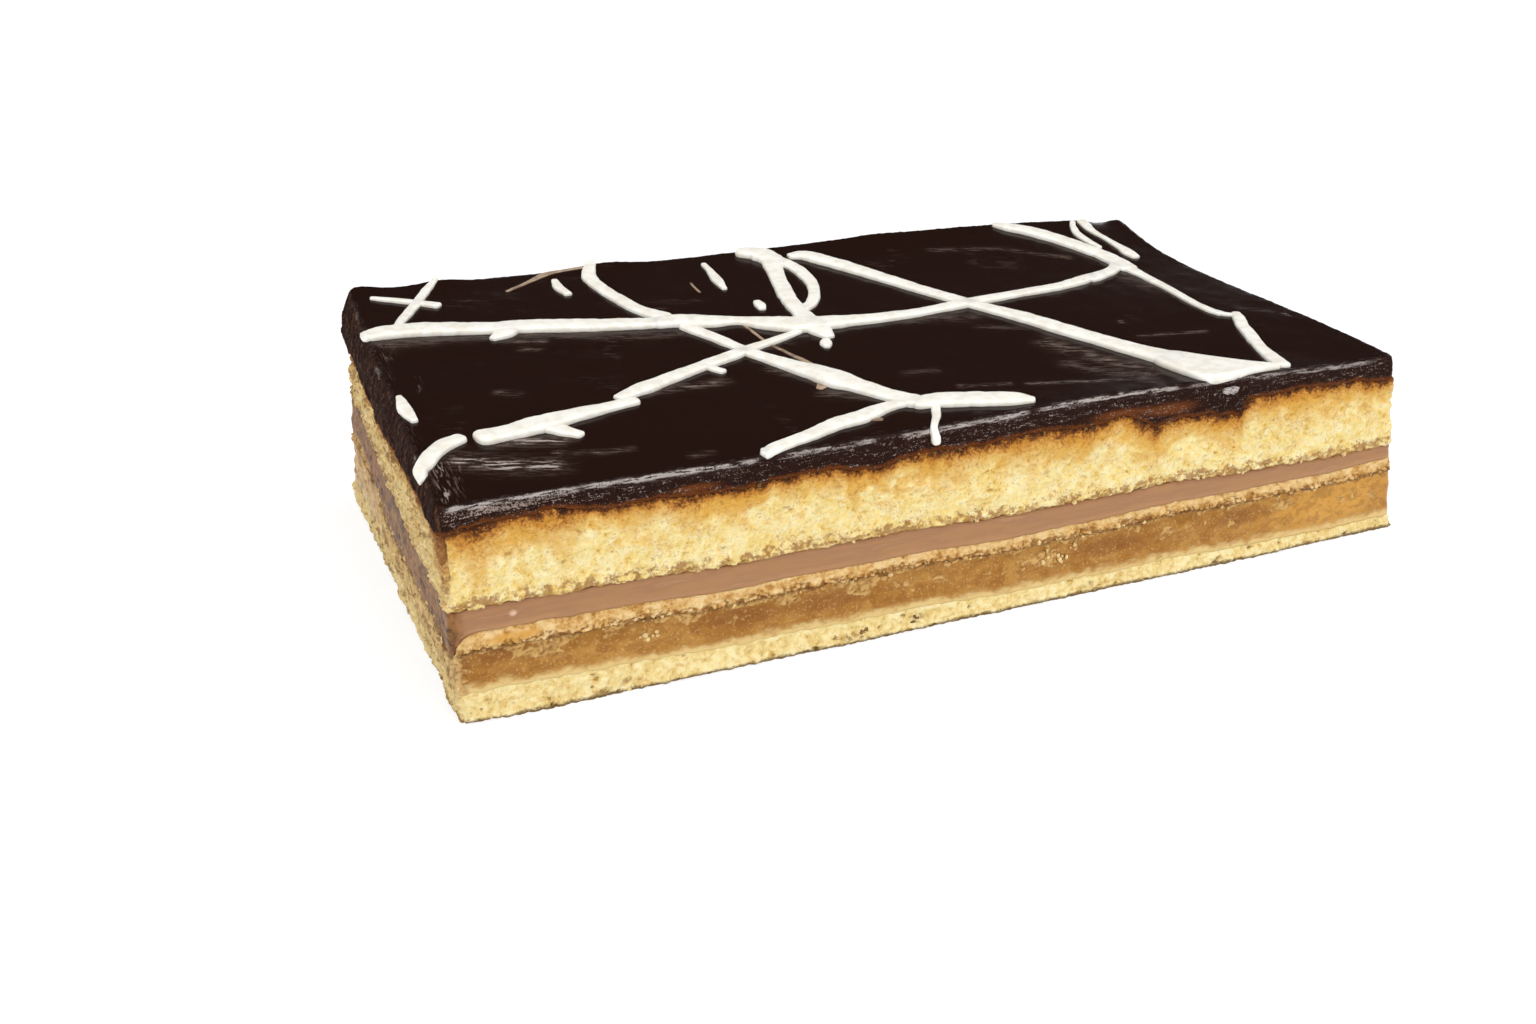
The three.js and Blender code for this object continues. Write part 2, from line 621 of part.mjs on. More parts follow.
// A named mesh from a manifold solid.
function layerMesh(name, solid, color, roughness) {
  const { vertProperties, triVerts } = solid.getMesh();
  const geometry = new THREE.BufferGeometry();
  geometry.setAttribute('position', new THREE.BufferAttribute(new Float32Array(vertProperties), 3));
  geometry.setIndex(new THREE.BufferAttribute(new Uint32Array(triVerts), 1));
  geometry.computeVertexNormals();
  const material = new THREE.MeshStandardMaterial({ color, roughness, metalness: 0 });
  const mesh = new THREE.Mesh(geometry, material);
  mesh.name = name;
  return mesh;
}

const operaCake = new THREE.Group();
operaCake.add(
  layerMesh('base_sponge', baseSponge(), colors.base, 0.9),
  layerMesh('caramel_layer', caramelLayer(), colors.caramel, 0.6),
  layerMesh('middle_sponge', middleSponge(), colors.middle, 0.85),
  layerMesh('mocha_mousse', mochaMousse(), colors.mousse, 0.6),
  layerMesh('upper_sponge', upperSponge(), colors.sponge, 0.9),
  layerMesh('chocolate_icing', chocolateIcing(), colors.icing, 0.25),
);

export default operaCake;
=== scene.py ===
import math
import random

import bpy
import numpy as np
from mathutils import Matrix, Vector


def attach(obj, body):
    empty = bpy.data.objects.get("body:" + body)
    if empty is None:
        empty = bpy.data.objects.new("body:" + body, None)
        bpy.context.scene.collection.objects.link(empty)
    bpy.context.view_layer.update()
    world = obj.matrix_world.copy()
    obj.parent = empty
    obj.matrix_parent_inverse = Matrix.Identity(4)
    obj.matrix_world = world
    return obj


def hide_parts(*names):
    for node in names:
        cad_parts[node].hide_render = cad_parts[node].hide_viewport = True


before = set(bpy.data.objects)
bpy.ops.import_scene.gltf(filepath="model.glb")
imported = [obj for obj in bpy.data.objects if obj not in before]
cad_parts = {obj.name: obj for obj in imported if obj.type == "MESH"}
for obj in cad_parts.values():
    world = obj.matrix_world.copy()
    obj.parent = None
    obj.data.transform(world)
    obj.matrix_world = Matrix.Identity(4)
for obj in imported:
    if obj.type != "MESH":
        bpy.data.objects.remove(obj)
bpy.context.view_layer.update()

millimetre = 0.001
print("cake: frame loaded")

# The bar. Lengths are in millimetres, corners run front left, front right, back right, back left.
bar = {
    "topCorners": [(-94, -47.5, 38.6), (89.2, -46.4, 36.4), (90.6, 47.2, 39.7), (-90.9, 47.8, 44.2)],
    "bottomCorners": [(-93.6, -46.9, 0), (94.6, -48.1, 0), (94.2, 46.5, 0), (-94.5, 46, 0)],
    "length": 184,
    "width": 94,
    "frontStart": -93.8,
    "frontLength": 187.3,
    "columns": (541, 276),  # how finely the cut sides are made, along the length and the width
    "cornerRadius": 1.4,
    "rightBow": 3,
    "rightSag": 1,
    "rimDrop": 0.7,
    "rimInset": 0.9,
    "rootInset": 2.4,
    # Where each layer ends, as a share of the height at the corners, and its sag between the ends.
    "layerTops": {
        "base": ((0.144, 0.066, 0.08, 0.12), 0.008),
        "caramel": ((0.337, 0.337, 0.33, 0.32), 0.012),
        "middle": ((0.425, 0.41, 0.41, 0.4), 0.03),
        "mousse": ((0.53, 0.488, 0.5, 0.52), 0),
        "sponge": ((0.9, 0.878, 0.885, 0.895), 0),
    },
    # Raised stretches of the icing's edges: place along the bar, lift, spread, reach inward.
    "frontLifts": [(26, 1.15, 19, 8), (60, 0.5, 9, 6)],
    "backLifts": [(37, 2, 34, 15), (-88, 0.9, 2.6, 3), (-72, 0.8, 3.4, 3), (-38, 1.1, 5.5, 4),
                  (25, 0.4, 5, 3), (85, -1.1, 3.2, 4)],
    # On the left side the icing and the mousse are drawn down over what is below them.
    "cornerReach": 10,
    "drawnDown": {
        "sponge": {"bulge": 1.3, "front": 1.6, "back": 6.6, "turn": (0, 0.9), "wave": 0.8, "taper": 3.0},
        "middle": {"bulge": 0.35, "front": 5, "back": 1.7, "turn": (0.62, 0.8), "wave": 0.5, "taper": 9.0},
    },
    # The uneven line where two layers meet on the cut side: size, pitch, seed.
    "meetings": {
        "base": (0.32, 3.1, 71), "caramel": (0.3, 2.6, 72), "middle": (0.2, 3.4, 73),
        "mousse": (0.24, 2.4, 74), "sponge": (0.4, 2.8, 75),
    },
    # The icing hangs lower or higher here: place, depth, spread along the front.
    "icingHangs": [(-75.3, -0.8, 2), (-66, 0.7, 4), (-45, 0.6, 9), (-20, 1.6, 3.6), (11, -0.8, 5),
                   (30, -1.0, 2.6), (37.5, 2.4, 2.4), (45, 1.7, 3.4), (53, 2.1, 2.4), (56, 1.3, 0.8),
                   (60, -0.6, 2.4), (72, -1.2, 5), (83, -0.6, 3), (91, 0.6, 2.4)],
    "waver": (0.32, 17, 30, 5),  # the cut sides aren't flat: size, pitch along, pitch up, seed
    "cragPitch": (6.5, 3.4),
}
perimeter = 2 * (bar["length"] + bar["width"])


def mix(a, b, t):
    return a + (b - a) * t


def smoothStep(low, high, value):
    t = np.clip((value - low) / (high - low), 0, 1)
    return t * t * (3 - 2 * t)


def bell(distance, spread):
    return np.exp(-0.5 * (distance / spread) ** 2)


def latticeValue(i, j, seed):
    wave = np.sin(i * 127.1 + j * 311.7 + seed * 74.7) * 43758.5453
    return 2 * (wave - np.floor(wave)) - 1


# Smooth value noise from -1 to 1, the same that shapes the crags of the layers.
def noise(x, y, seed):
    i = np.floor(x)
    j = np.floor(y)
    s = smoothStep(0, 1, x - i)
    t = smoothStep(0, 1, y - j)
    low = mix(latticeValue(i, j, seed), latticeValue(i + 1, j, seed), s)
    high = mix(latticeValue(i, j + 1, seed), latticeValue(i + 1, j + 1, seed), s)
    return mix(low, high, t)


# Slope noise from about -1 to 1. With cells, it closes on itself after that many steps of x.
def slopeNoise(x, y, seed, cells=None):
    i = np.floor(x)
    j = np.floor(y)
    s = x - i
    t = y - j

    def corner(di, dj):
        column = (i + di) % cells if cells else i + di
        angle = math.pi * latticeValue(column, j + dj, seed)
        return np.cos(angle) * (s - di) + np.sin(angle) * (t - dj)

    fadeS = s ** 3 * (s * (6 * s - 15) + 10)
    fadeT = t ** 3 * (t * (6 * t - 15) + 10)
    low = mix(corner(0, 0), corner(1, 0), fadeS)
    high = mix(corner(0, 1), corner(1, 1), fadeS)
    return 1.5 * mix(low, high, fadeT)


octaveShare = 0.55  # each finer octave counts this much of the one before


def aroundNoise(walked, z, along, up, seed, octaves=1):
    total = 0
    for octave in range(octaves):
        cells = round(perimeter / along * 2 ** octave)
        total = total + octaveShare ** octave * slopeNoise(
            walked / perimeter * cells, z / up * 2 ** octave, seed + octave, cells)
    return total


# Puffy lumps with narrow clefts between them, from 0 in a cleft to about 1.
def puffs(walked, z, along, up, seed, octaves=3):
    warp = 0.35
    warpedX = walked + warp * along * aroundNoise(walked, z, 1.3 * along, 1.3 * up, seed + 50)
    warpedZ = z + warp * up * aroundNoise(walked, z, 1.1 * along, 1.1 * up, seed + 60)
    total = 0
    weight = 0
    for octave in range(octaves):
        share = octaveShare ** octave
        total = total + share * np.abs(
            aroundNoise(warpedX, warpedZ, along / 2 ** octave, up / 2 ** octave, seed + 3 * octave))
        weight += share
    return np.clip(2.1 * total / weight, 0, 1.3)


# Noise that isn't periodic, faded into itself where the walk round the bar closes.
def closedNoise(walked, z, along, up, seed):
    fadeLength = 9
    before = noise(walked / along, z / up, seed)
    after = noise((walked - perimeter) / along, z / up, seed)
    return mix(before, after, smoothStep(perimeter - fadeLength, perimeter, walked))


def acrossCorners(values, u, v):
    frontLeft, frontRight, backRight, backLeft = values
    return mix(mix(frontLeft, frontRight, u), mix(backLeft, backRight, u), v)


def cornerAxis(corners, axis):
    return [corner[axis] for corner in corners]


def nominalTop(u, v):
    return acrossCorners(cornerAxis(bar["topCorners"], 2), u, v)


def rightHollow(u, v):
    return np.maximum(u, 0) ** 8 * np.sin(math.pi * np.clip(v, 0, 1) ** 1.9)


def icingTop(u, v):
    x = acrossCorners(cornerAxis(bar["topCorners"], 0), u, v)
    fromFront = np.maximum(v, 0) * bar["width"]
    fromBack = np.maximum(1 - v, 0) * bar["width"]
    z = nominalTop(u, v) - bar["rightSag"] * rightHollow(u, v)
    for lifts, distance in ((bar["frontLifts"], fromFront), (bar["backLifts"], fromBack)):
        for at, lift, spread, reach in lifts:
            z = z + lift * bell(x - at, spread) * np.exp(-distance / reach)
    return z + 0.16 * np.sin(9 * u + 3 * v) * np.sin(7 * v - 2 * u)


def layerTop(name, u, v):
    shares, sag = bar["layerTops"][name]
    share = acrossCorners(shares, u, v) - sag * np.sin(math.pi * u)
    swells = 0.22 * np.sin(19.5 * u + 10.7 * v) + 0.14 * np.sin(45.9 * u - 25.8 * v)
    return share * nominalTop(u, v) + swells


def barPoint(u, v, z, outX=0, outY=0, push=0):
    share = z / nominalTop(u, v)
    x, y = (mix(acrossCorners(cornerAxis(bar["bottomCorners"], axis), u, v),
                acrossCorners(cornerAxis(bar["topCorners"], axis), u, v), share) for axis in (0, 1))
    bow = bar["rightBow"] * share * rightHollow(u, v)
    return np.stack([x + outX * push - bow, y + outY * push, z + 0 * x], -1)


def leftShare(u):
    return np.clip(1 - u * bar["length"] / bar["cornerReach"], 0, 1)


def drop(name, u, v):
    down = bar["drawnDown"][name]
    fall = mix(down["front"], down["back"], smoothStep(*down["turn"], v))
    fall = fall + down["wave"] * noise(v * 9, 0 * v, 3)
    return leftShare(u) ** down["taper"] * fall


# How far along the walk round the bar a place on the front lies.
def alongFront(x):
    return (x - bar["frontStart"]) * bar["length"] / bar["frontLength"]


# A soft spot on the front, 1 in its middle: place, height, reach along, reach up.
def frontSpot(walked, z, x, height, reachX, reachZ, strength=1):
    return strength * np.exp(-0.5 * (((walked - alongFront(x)) / reachX) ** 2 + ((z - height) / reachZ) ** 2))


def frontSpots(walked, z, places):
    total = 0 * z
    for place in places:
        total = total + frontSpot(walked, z, *place)
    return total


# The plan as a rectangle with round corners: where a point of the sharp rectangle goes.
def roundedPlan(x, y):
    radius = bar["cornerRadius"]
    overX = np.clip((np.abs(x) - (bar["length"] / 2 - radius)) / radius, 0, 1)
    overY = np.clip((np.abs(y) - (bar["width"] / 2 - radius)) / radius, 0, 1)
    inX = overX * np.sqrt(1 - overY ** 2 / 2)
    inY = overY * np.sqrt(1 - overX ** 2 / 2)
    roundX = x + np.sign(x) * radius * (inX - overX)
    roundY = y + np.sign(y) * radius * (inY - overY)
    return roundX, roundY, inX * np.sign(x), inY * np.sign(y)


# Columns round the bar, counter-clockwise from the front left corner.
def planColumns(countLength, countWidth):
    halfLength = bar["length"] / 2
    halfWidth = bar["width"] / 2
    alongLength = np.arange(countLength) / countLength * bar["length"]
    alongWidth = np.arange(countWidth) / countWidth * bar["width"]
    x = np.concatenate([alongLength - halfLength, 0 * alongWidth + halfLength,
                        halfLength - alongLength, 0 * alongWidth - halfLength])
    y = np.concatenate([0 * alongLength - halfWidth, alongWidth - halfWidth,
                        0 * alongLength + halfWidth, halfWidth - alongWidth])
    walked = np.concatenate([alongLength, bar["length"] + alongWidth,
                             bar["length"] + bar["width"] + alongLength,
                             2 * bar["length"] + bar["width"] + alongWidth])
    planX, planY, outX, outY = roundedPlan(x, y)
    size = np.hypot(outX, outY)
    return {"u": planX / bar["length"] + 0.5, "v": planY / bar["width"] + 0.5,
            "outX": outX / size, "outY": outY / size, "walked": walked}


def insetPlan(columns, inset):
    u = 0.5 + (columns["u"] - 0.5) * (1 - 2 * inset / bar["length"])
    v = 0.5 + (columns["v"] - 0.5) * (1 - 2 * inset / bar["width"])
    return u, v


# The columns' values at every row of a side.
def widened(columns, z):
    return {key: np.broadcast_to(value[None, :], z.shape) for key, value in columns.items()}


def waver(columns, z):
    size, along, up, seed = bar["waver"]
    return size * closedNoise(columns["walked"], z, along, up, seed)


def meetingLine(name, columns):
    u, v, walked = columns["u"], columns["v"], columns["walked"]
    size, pitch, seed = bar["meetings"][name]
    z = layerTop(name, u, v) + size * aroundNoise(walked, 0 * walked, pitch, 1, seed, 3)
    if name in bar["drawnDown"]:
        z = z - drop(name, u, v)
    if name == "sponge":
        for at, depth, spread in bar["icingHangs"]:
            z = z - depth * bell(walked - alongFront(at), spread)
    return z


def makeMesh(name, points, faces, attributes, smooth=True):
    mesh = bpy.data.meshes.new(name)
    mesh.from_pydata((points * millimetre).tolist(), [], faces)
    for key, values in attributes.items():
        layer = mesh.attributes.new(key, "FLOAT", "POINT")
        layer.data.foreach_set("value", np.ascontiguousarray(values, np.float32))
    rounded = [smooth] * len(mesh.polygons) if isinstance(smooth, bool) else smooth
    mesh.polygons.foreach_set("use_smooth", rounded)
    mesh.update()
    thing = bpy.data.objects.new(name, mesh)
    bpy.context.scene.collection.objects.link(thing)
    return thing


# Quads between rings of points that lie one after another.
def ringQuads(rings, count):
    first = np.arange(rings - 1)[:, None] * count
    low = (first + np.arange(count)[None, :]).ravel()
    nextLow = (first + (np.arange(count)[None, :] + 1) % count).ravel()
    return np.stack([low, nextLow, nextLow + count, low + count], -1).tolist()


# Triangles from a middle point to the ring that starts at the given point, seen from above or below.
def ringFan(middle, start, count, fromAbove):
    step = np.arange(count)
    here, after = start + step, start + (step + 1) % count
    return np.stack([middle + 0 * step, *((here, after) if fromAbove else (after, here))], -1).tolist()


# Closes a tube of rings with a flat face at each end.
def endFaces(rings, count):
    last = (rings - 1) * count
    return [list(range(count - 1, -1, -1)), [last + i for i in range(count)]]


# A closed layer: bottom face, cut side, top face. The two faces are hidden by the neighbours.
def makeLayer(name, columns, low, high, rows, reliefAt, innerLow, innerHigh):
    count = len(columns["u"])
    t = (np.arange(rows + 1) / rows)[:, None]
    z = mix(low[None, :], high[None, :], t)
    wide = widened(columns, z)
    push, extra = reliefAt(wide, z, t + 0 * z)
    wall = barPoint(wide["u"], wide["v"], z, wide["outX"], wide["outY"], push)
    innerU, innerV = insetPlan(columns, bar["rootInset"])
    bottom, top = (barPoint(innerU, innerV, inner) for inner in (innerLow, innerHigh))
    rings = np.concatenate([bottom[None], wall, top[None]])
    points = np.concatenate([rings.reshape(-1, 3), bottom.mean(0)[None], top.mean(0)[None]])
    faces = ringQuads(len(rings), count) + ringFan(len(points) - 2, 0, count, False)
    faces += ringFan(len(points) - 1, (len(rings) - 1) * count, count, True)

    def padded(values):
        return np.concatenate([values[0], values.ravel(), values[-1], [0, 0]])

    extra.update(above=z - low[None, :], below=high[None, :] - z, leftSide=leftShare(wide["u"]))
    attributes = {key: padded(values) for key, values in extra.items()}
    # Only the cut side is shaded smooth, so that its edges stay crisp.
    smooth = [False] * count + [True] * (rows * count) + [False] * (3 * count)
    return makeMesh(name, points, faces, attributes, smooth)


# Swelling relief: size, pitch along, pitch up, seed, octaves.
def swell(walked, z, relief):
    size, *grains = relief
    return size * aroundNoise(walked, z, *grains)


# Puffs, and the relief they make: size, the level taken as flat, pitch along, pitch up, seed, octaves.
def lumps(walked, z, relief):
    size, flat, *grains = relief
    puff = puffs(walked, z, *grains)
    return puff, size * (puff - flat)


# Crags that fade towards the foot and the lid of a layer.
def crags(walked, z, t, size, seed, fade=1):
    return size * closedNoise(walked, z, *bar["cragPitch"], seed) * np.sin(math.pi * t) ** fade


# Tears that run aslant over the left side.
def leftTears(wide, z, relief, slant=0.6):
    return leftShare(wide["u"]) ** 4 * lumps(wide["walked"] + slant * z, z, relief)[1]


# An edge that is drawn in: by how much, and over what distance.
def drawnIn(distance, size, reach):
    return -size * smoothStep(reach, 0, distance)


# How far a drawn-down layer stands out on the left side.
def leftBulge(name, wide, t):
    bulge = bar["drawnDown"][name]["bulge"]
    return bulge * leftShare(wide["u"]) * mix(0.4, 1, wide["v"]) * np.sin(math.pi * mix(0.12, 1, t))


# Materials. A colour is given as it looks on screen, from 0 to 255.
def screenColor(red, green, blue):
    linear = [(c / 255 / 12.92 if c / 255 <= 0.04045 else ((c / 255 + 0.055) / 1.055) ** 2.4)
              for c in (red, green, blue)]
    return (*linear, 1)


def screenColors(colors):
    return {key: screenColor(*value) for key, value in colors.items()}


def newMaterial(name):
    material = bpy.data.materials.new(name)
    material.use_nodes = True
    tree = material.node_tree
    tree.nodes.clear()
    shader = tree.nodes.new("ShaderNodeBsdfPrincipled")
    output = tree.nodes.new("ShaderNodeOutputMaterial")
    tree.links.new(shader.outputs[0], output.inputs[0])
    place = tree.nodes.new("ShaderNodeTexCoord").outputs["Object"]
    return material, tree, shader, place


def setInput(tree, socket, value):
    if isinstance(value, bpy.types.NodeSocket):
        tree.links.new(value, socket)
    else:
        socket.default_value = value


# Stretches a pattern: by how much along each axis, and the turn of those axes.
def stretched(tree, place, scale, turn=0):
    node = tree.nodes.new("ShaderNodeMapping")
    node.vector_type = "TEXTURE"
    node.inputs["Rotation"].default_value = (0, 0, math.radians(turn))
    node.inputs["Scale"].default_value = scale
    tree.links.new(place, node.inputs["Vector"])
    return node.outputs[0]


def grain(tree, place, size, detail=2, roughness=0.5, twist=0):
    node = tree.nodes.new("ShaderNodeTexNoise")
    tree.links.new(place, node.inputs["Vector"])
    node.inputs["Scale"].default_value = 1 / (size * millimetre)
    node.inputs["Detail"].default_value = detail
    node.inputs["Roughness"].default_value = roughness
    node.inputs["Distortion"].default_value = twist
    return node.outputs[0]


def attribute(tree, name):
    node = tree.nodes.new("ShaderNodeAttribute")
    node.attribute_name = name
    return node.outputs["Fac"]


def ranged(tree, value, low, high, toLow=0.0, toHigh=1.0):
    node = tree.nodes.new("ShaderNodeMapRange")
    node.interpolation_type = "SMOOTHSTEP"
    tree.links.new(value, node.inputs["Value"])
    for key, number in (("From Min", low), ("From Max", high), ("To Min", toLow), ("To Max", toHigh)):
        node.inputs[key].default_value = number
    return node.outputs[0]


def maths(tree, kind, a, b):
    node = tree.nodes.new("ShaderNodeMath")
    node.operation = kind
    setInput(tree, node.inputs[0], a)
    setInput(tree, node.inputs[1], b)
    return node.outputs[0]


def product(tree, a, b):
    return maths(tree, "MULTIPLY", a, b)


# A weighted sum: pairs of value and weight, and a constant.
def summed(tree, pairs, constant=0.0):
    total = constant
    for value, weight in pairs:
        total = maths(tree, "ADD", product(tree, value, weight), total)
    return total


def blended(tree, share, a, b, kind="MIX"):
    node = tree.nodes.new("ShaderNodeMix")
    node.data_type = "RGBA"
    node.blend_type = kind
    setInput(tree, node.inputs[0], share)
    setInput(tree, node.inputs[6], a)
    setInput(tree, node.inputs[7], b)
    return node.outputs[2]


# Lays coats over a tint. Each has a value, where along it the coat begins and is full, a strength, a colour.
def coated(tree, tint, coats):
    for value, begins, full, strength, color in coats:
        tint = blended(tree, ranged(tree, value, begins, full, 0, strength), tint, color)
    return tint


def ramp(tree, value, stops):
    node = tree.nodes.new("ShaderNodeValToRGB")
    tree.links.new(value, node.inputs[0])
    elements = node.color_ramp.elements
    while len(elements) < len(stops):
        elements.new(0.5)
    for element, (position, color) in zip(elements, stops):
        element.position = position
        element.color = screenColor(*color)
    return node.outputs[0]


def bumped(tree, height, distance, strength=1.0, under=None):
    node = tree.nodes.new("ShaderNodeBump")
    node.inputs["Strength"].default_value = strength
    node.inputs["Distance"].default_value = distance * millimetre
    tree.links.new(height, node.inputs["Height"])
    if under is not None:
        tree.links.new(under, node.inputs["Normal"])
    return node.outputs[0]


# Finishes a surface. The radius and depth say how far light spreads inside it.
def setSurface(tree, shader, tint, bump, roughness, specular, subsurface=0.0,
               radius=(1.0, 0.6, 0.25), depth=1.2):
    setInput(tree, shader.inputs["Base Color"], tint)
    setInput(tree, shader.inputs["Roughness"], roughness)
    shader.inputs["Specular IOR Level"].default_value = specular
    shader.inputs["Subsurface Weight"].default_value = subsurface
    shader.inputs["Subsurface Radius"].default_value = radius
    shader.inputs["Subsurface Scale"].default_value = depth * millimetre
    if bump is not None:
        tree.links.new(bump, shader.inputs["Normal"])


# Colour of a crumb, on a ramp from the clefts between its puffs to their crests: painted shade in the clefts,
# paler on the crests, mixed with tone that differs at random.
def crumbTint(tree, place, stops):
    broad = grain(tree, place, 3.6, 3, 0.55, 0.5)
    medium = grain(tree, place, 1.5, 4, 0.62, 0.35)
    small = grain(tree, place, 0.5, 3, 0.65)
    parts = [(attribute(tree, "puffShading"), 0.5), (broad, 1.3), (medium, 1.4), (small, 1.0)]
    return ramp(tree, summed(tree, parts, -1.48), stops), medium, small


def crumbBump(tree, place, small, depth, tinySize=0.26):
    tiny = grain(tree, place, tinySize, 2, 0.6)
    return bumped(tree, tiny, 0.2, 0.8, bumped(tree, small, depth, 0.8))


# Brown tears that run aslant over the left side. The left side is also paled, and painted highlights run
# along its lighter streaks.
def tornLeft(tree, place, tint, colors, strength):
    coarse = grain(tree, stretched(tree, place, (1, 2.2, 1)), 3.0, 4, 0.64, 0.9)
    fine = grain(tree, stretched(tree, place, (1, 1.6, 1)), 1.1, 3, 0.66, 0.5)
    streak = summed(tree, [(coarse, 0.65), (fine, 0.5)], -0.075)
    left = ranged(tree, attribute(tree, "leftSide"), 0.86, 1.0)
    tint = blended(tree, product(tree, left, 0.55), tint, colors["leftPaleAndHighlight"])
    # Painted highlights along the lighter streaks.
    light = product(tree, left, ranged(tree, streak, 0.53, 0.64, 0, 0.7))
    tint = blended(tree, light, tint, blended(tree, 1.0, tint, colors["leftPaleAndHighlight"], "SCREEN"))
    share = product(tree, left, ranged(tree, streak, 0.5, 0.4, 0, strength))
    return blended(tree, share, tint, colors["tornDark"])


# Upper sponge: an open yellow crumb, soaked brown from above and torn along its foot.
upperSponge = {
    "rows": 44, "crag": (0.45, 51, 0.5),
    # Swells: size, pitch along, pitch up, seed, octaves.
    "swell": (0.32, 5.2, 3.4, 201, 2), "holes": (1, 2.9, 1.5, 241, 2),
    "footWave": (0.8, 2.6, 1, 251, 2), "footGaps": (0.5, 8, 1, 255, 2),
    # Puffs: size, level taken as flat, pitch along, pitch up, seed, octaves.
    "puffs": (0.5, 0.45, 3.0, 2.1, 211, 3), "finePuffs": (0.2, 0.4, 0.95, 0.8, 221, 1),
    "footPuffs": (0.6, 0.25, 2.3, 1.2, 261, 3), "lidPuffs": (0.35, 0.5, 1.7, 1.1, 271, 2),
    "leftTears": (0.35, 0.4, 4.5, 3.2, 281, 2),
    "footBand": (2.7, 1.2), "lidBand": (2.6, 0.6), "holeRange": (0.66, 0.95), "holeDepth": 0.3,
    "footEdge": (0.45, 0.5), "lidEdge": (0.25, 0.5),
    "cornerCut": 1.2, "cornerCutReach": 1.6,
    "soak": 2.3, "soakWave": (1.1, 6.5, 1, 801, 3), "soakGrain": (0.35, 2.2, 2.6, 811), "leastSoak": 0.7,
    # Place along the front, extra depth, spread. The last one is on the left side, by the front corner.
    "soaks": [(-88.6, 5.0, 2.4), (-78.6, 1.8, 1.4), (-74.6, 3.2, 1.9), (-61, 1.2, 2), (-53.5, 2.6, 2.2),
              (-30, 1.2, 4), (-5.8, 2.4, 3.4), (8, 2.2, 4), (19, 2.4, 5), (31.5, 1.2, 3), (37, 2.5, 3),
              (52, 1.6, 4), (68, 1.8, 7), (85, 1.2, 4), (470.5, 6.5, 2.2)],
    # Crumb colour ramp. Its dark end is the painted shade in the clefts.
    "crumb": [(0.0, (184, 134, 58)), (0.12, (220, 174, 88)), (0.27, (240, 208, 124)),
              (0.52, (249, 225, 152)), (1.0, (254, 240, 190))],
    # Colours, among them painted shade for the pits and the crevices.
    "colors": {
        "golden": (222, 170, 76), "orange": (196, 128, 46), "soaked": (126, 68, 24),
        "chocolate": (46, 25, 18), "speck": (164, 112, 56), "pitShade": (194, 146, 68),
        "creviceShade": (186, 132, 56), "warm": (238, 200, 128), "leftPaleAndHighlight": (210, 176, 120),
        "tornDark": (130, 86, 44),
    },
}


def upperSpongeRelief(wide, z, t):
    shape = upperSponge
    walked = wide["walked"]
    fromFoot, fromLid = z - z[0][None, :], z[-1][None, :] - z
    puff, puffLift = lumps(walked, z, shape["puffs"])
    fine, fineLift = lumps(walked, z, shape["finePuffs"])
    footPuff, footLift = lumps(walked, z, shape["footPuffs"])
    footBand = smoothStep(*shape["footBand"], fromFoot + swell(walked, 0 * z, shape["footWave"]))
    footBand = footBand * np.clip(0.85 + swell(walked, 0 * z, shape["footGaps"]), 0.4, 1)
    lidLift = smoothStep(*shape["lidBand"], fromLid) * lumps(walked, z, shape["lidPuffs"])[1]
    hole = smoothStep(*shape["holeRange"], swell(walked, z, shape["holes"]))
    push = waver(wide, z) + crags(walked, z, t, *shape["crag"]) + swell(walked, z, shape["swell"])
    push = push + puffLift + fineLift + footBand * footLift + lidLift
    push = push + drawnIn(fromFoot, *shape["footEdge"]) + drawnIn(fromLid, *shape["lidEdge"])
    push = push + leftTears(wide, z, shape["leftTears"]) - shape["holeDepth"] * hole
    fromCorner = np.minimum(walked, perimeter - walked)
    cornerCut = shape["cornerCut"] * np.exp(-fromCorner / shape["cornerCutReach"])
    push = push - cornerCut * smoothStep(0, 0.5, t)

    depth = shape["soak"] + swell(walked, 0 * z, shape["soakWave"])
    uneven = 1 + swell(walked, z, shape["soakGrain"])
    for at, extra, spread in shape["soaks"]:
        depth = depth + extra * bell(walked - alongFront(at), spread) * uneven
    soaked = 1 - fromLid / np.maximum(depth, shape["leastSoak"])
    puffShading = 0.6 * puff + 0.4 * fine
    return push, {"puffShading": puffShading, "torn": footBand * (1 - footPuff), "soaked": soaked, "pitShade": hole}


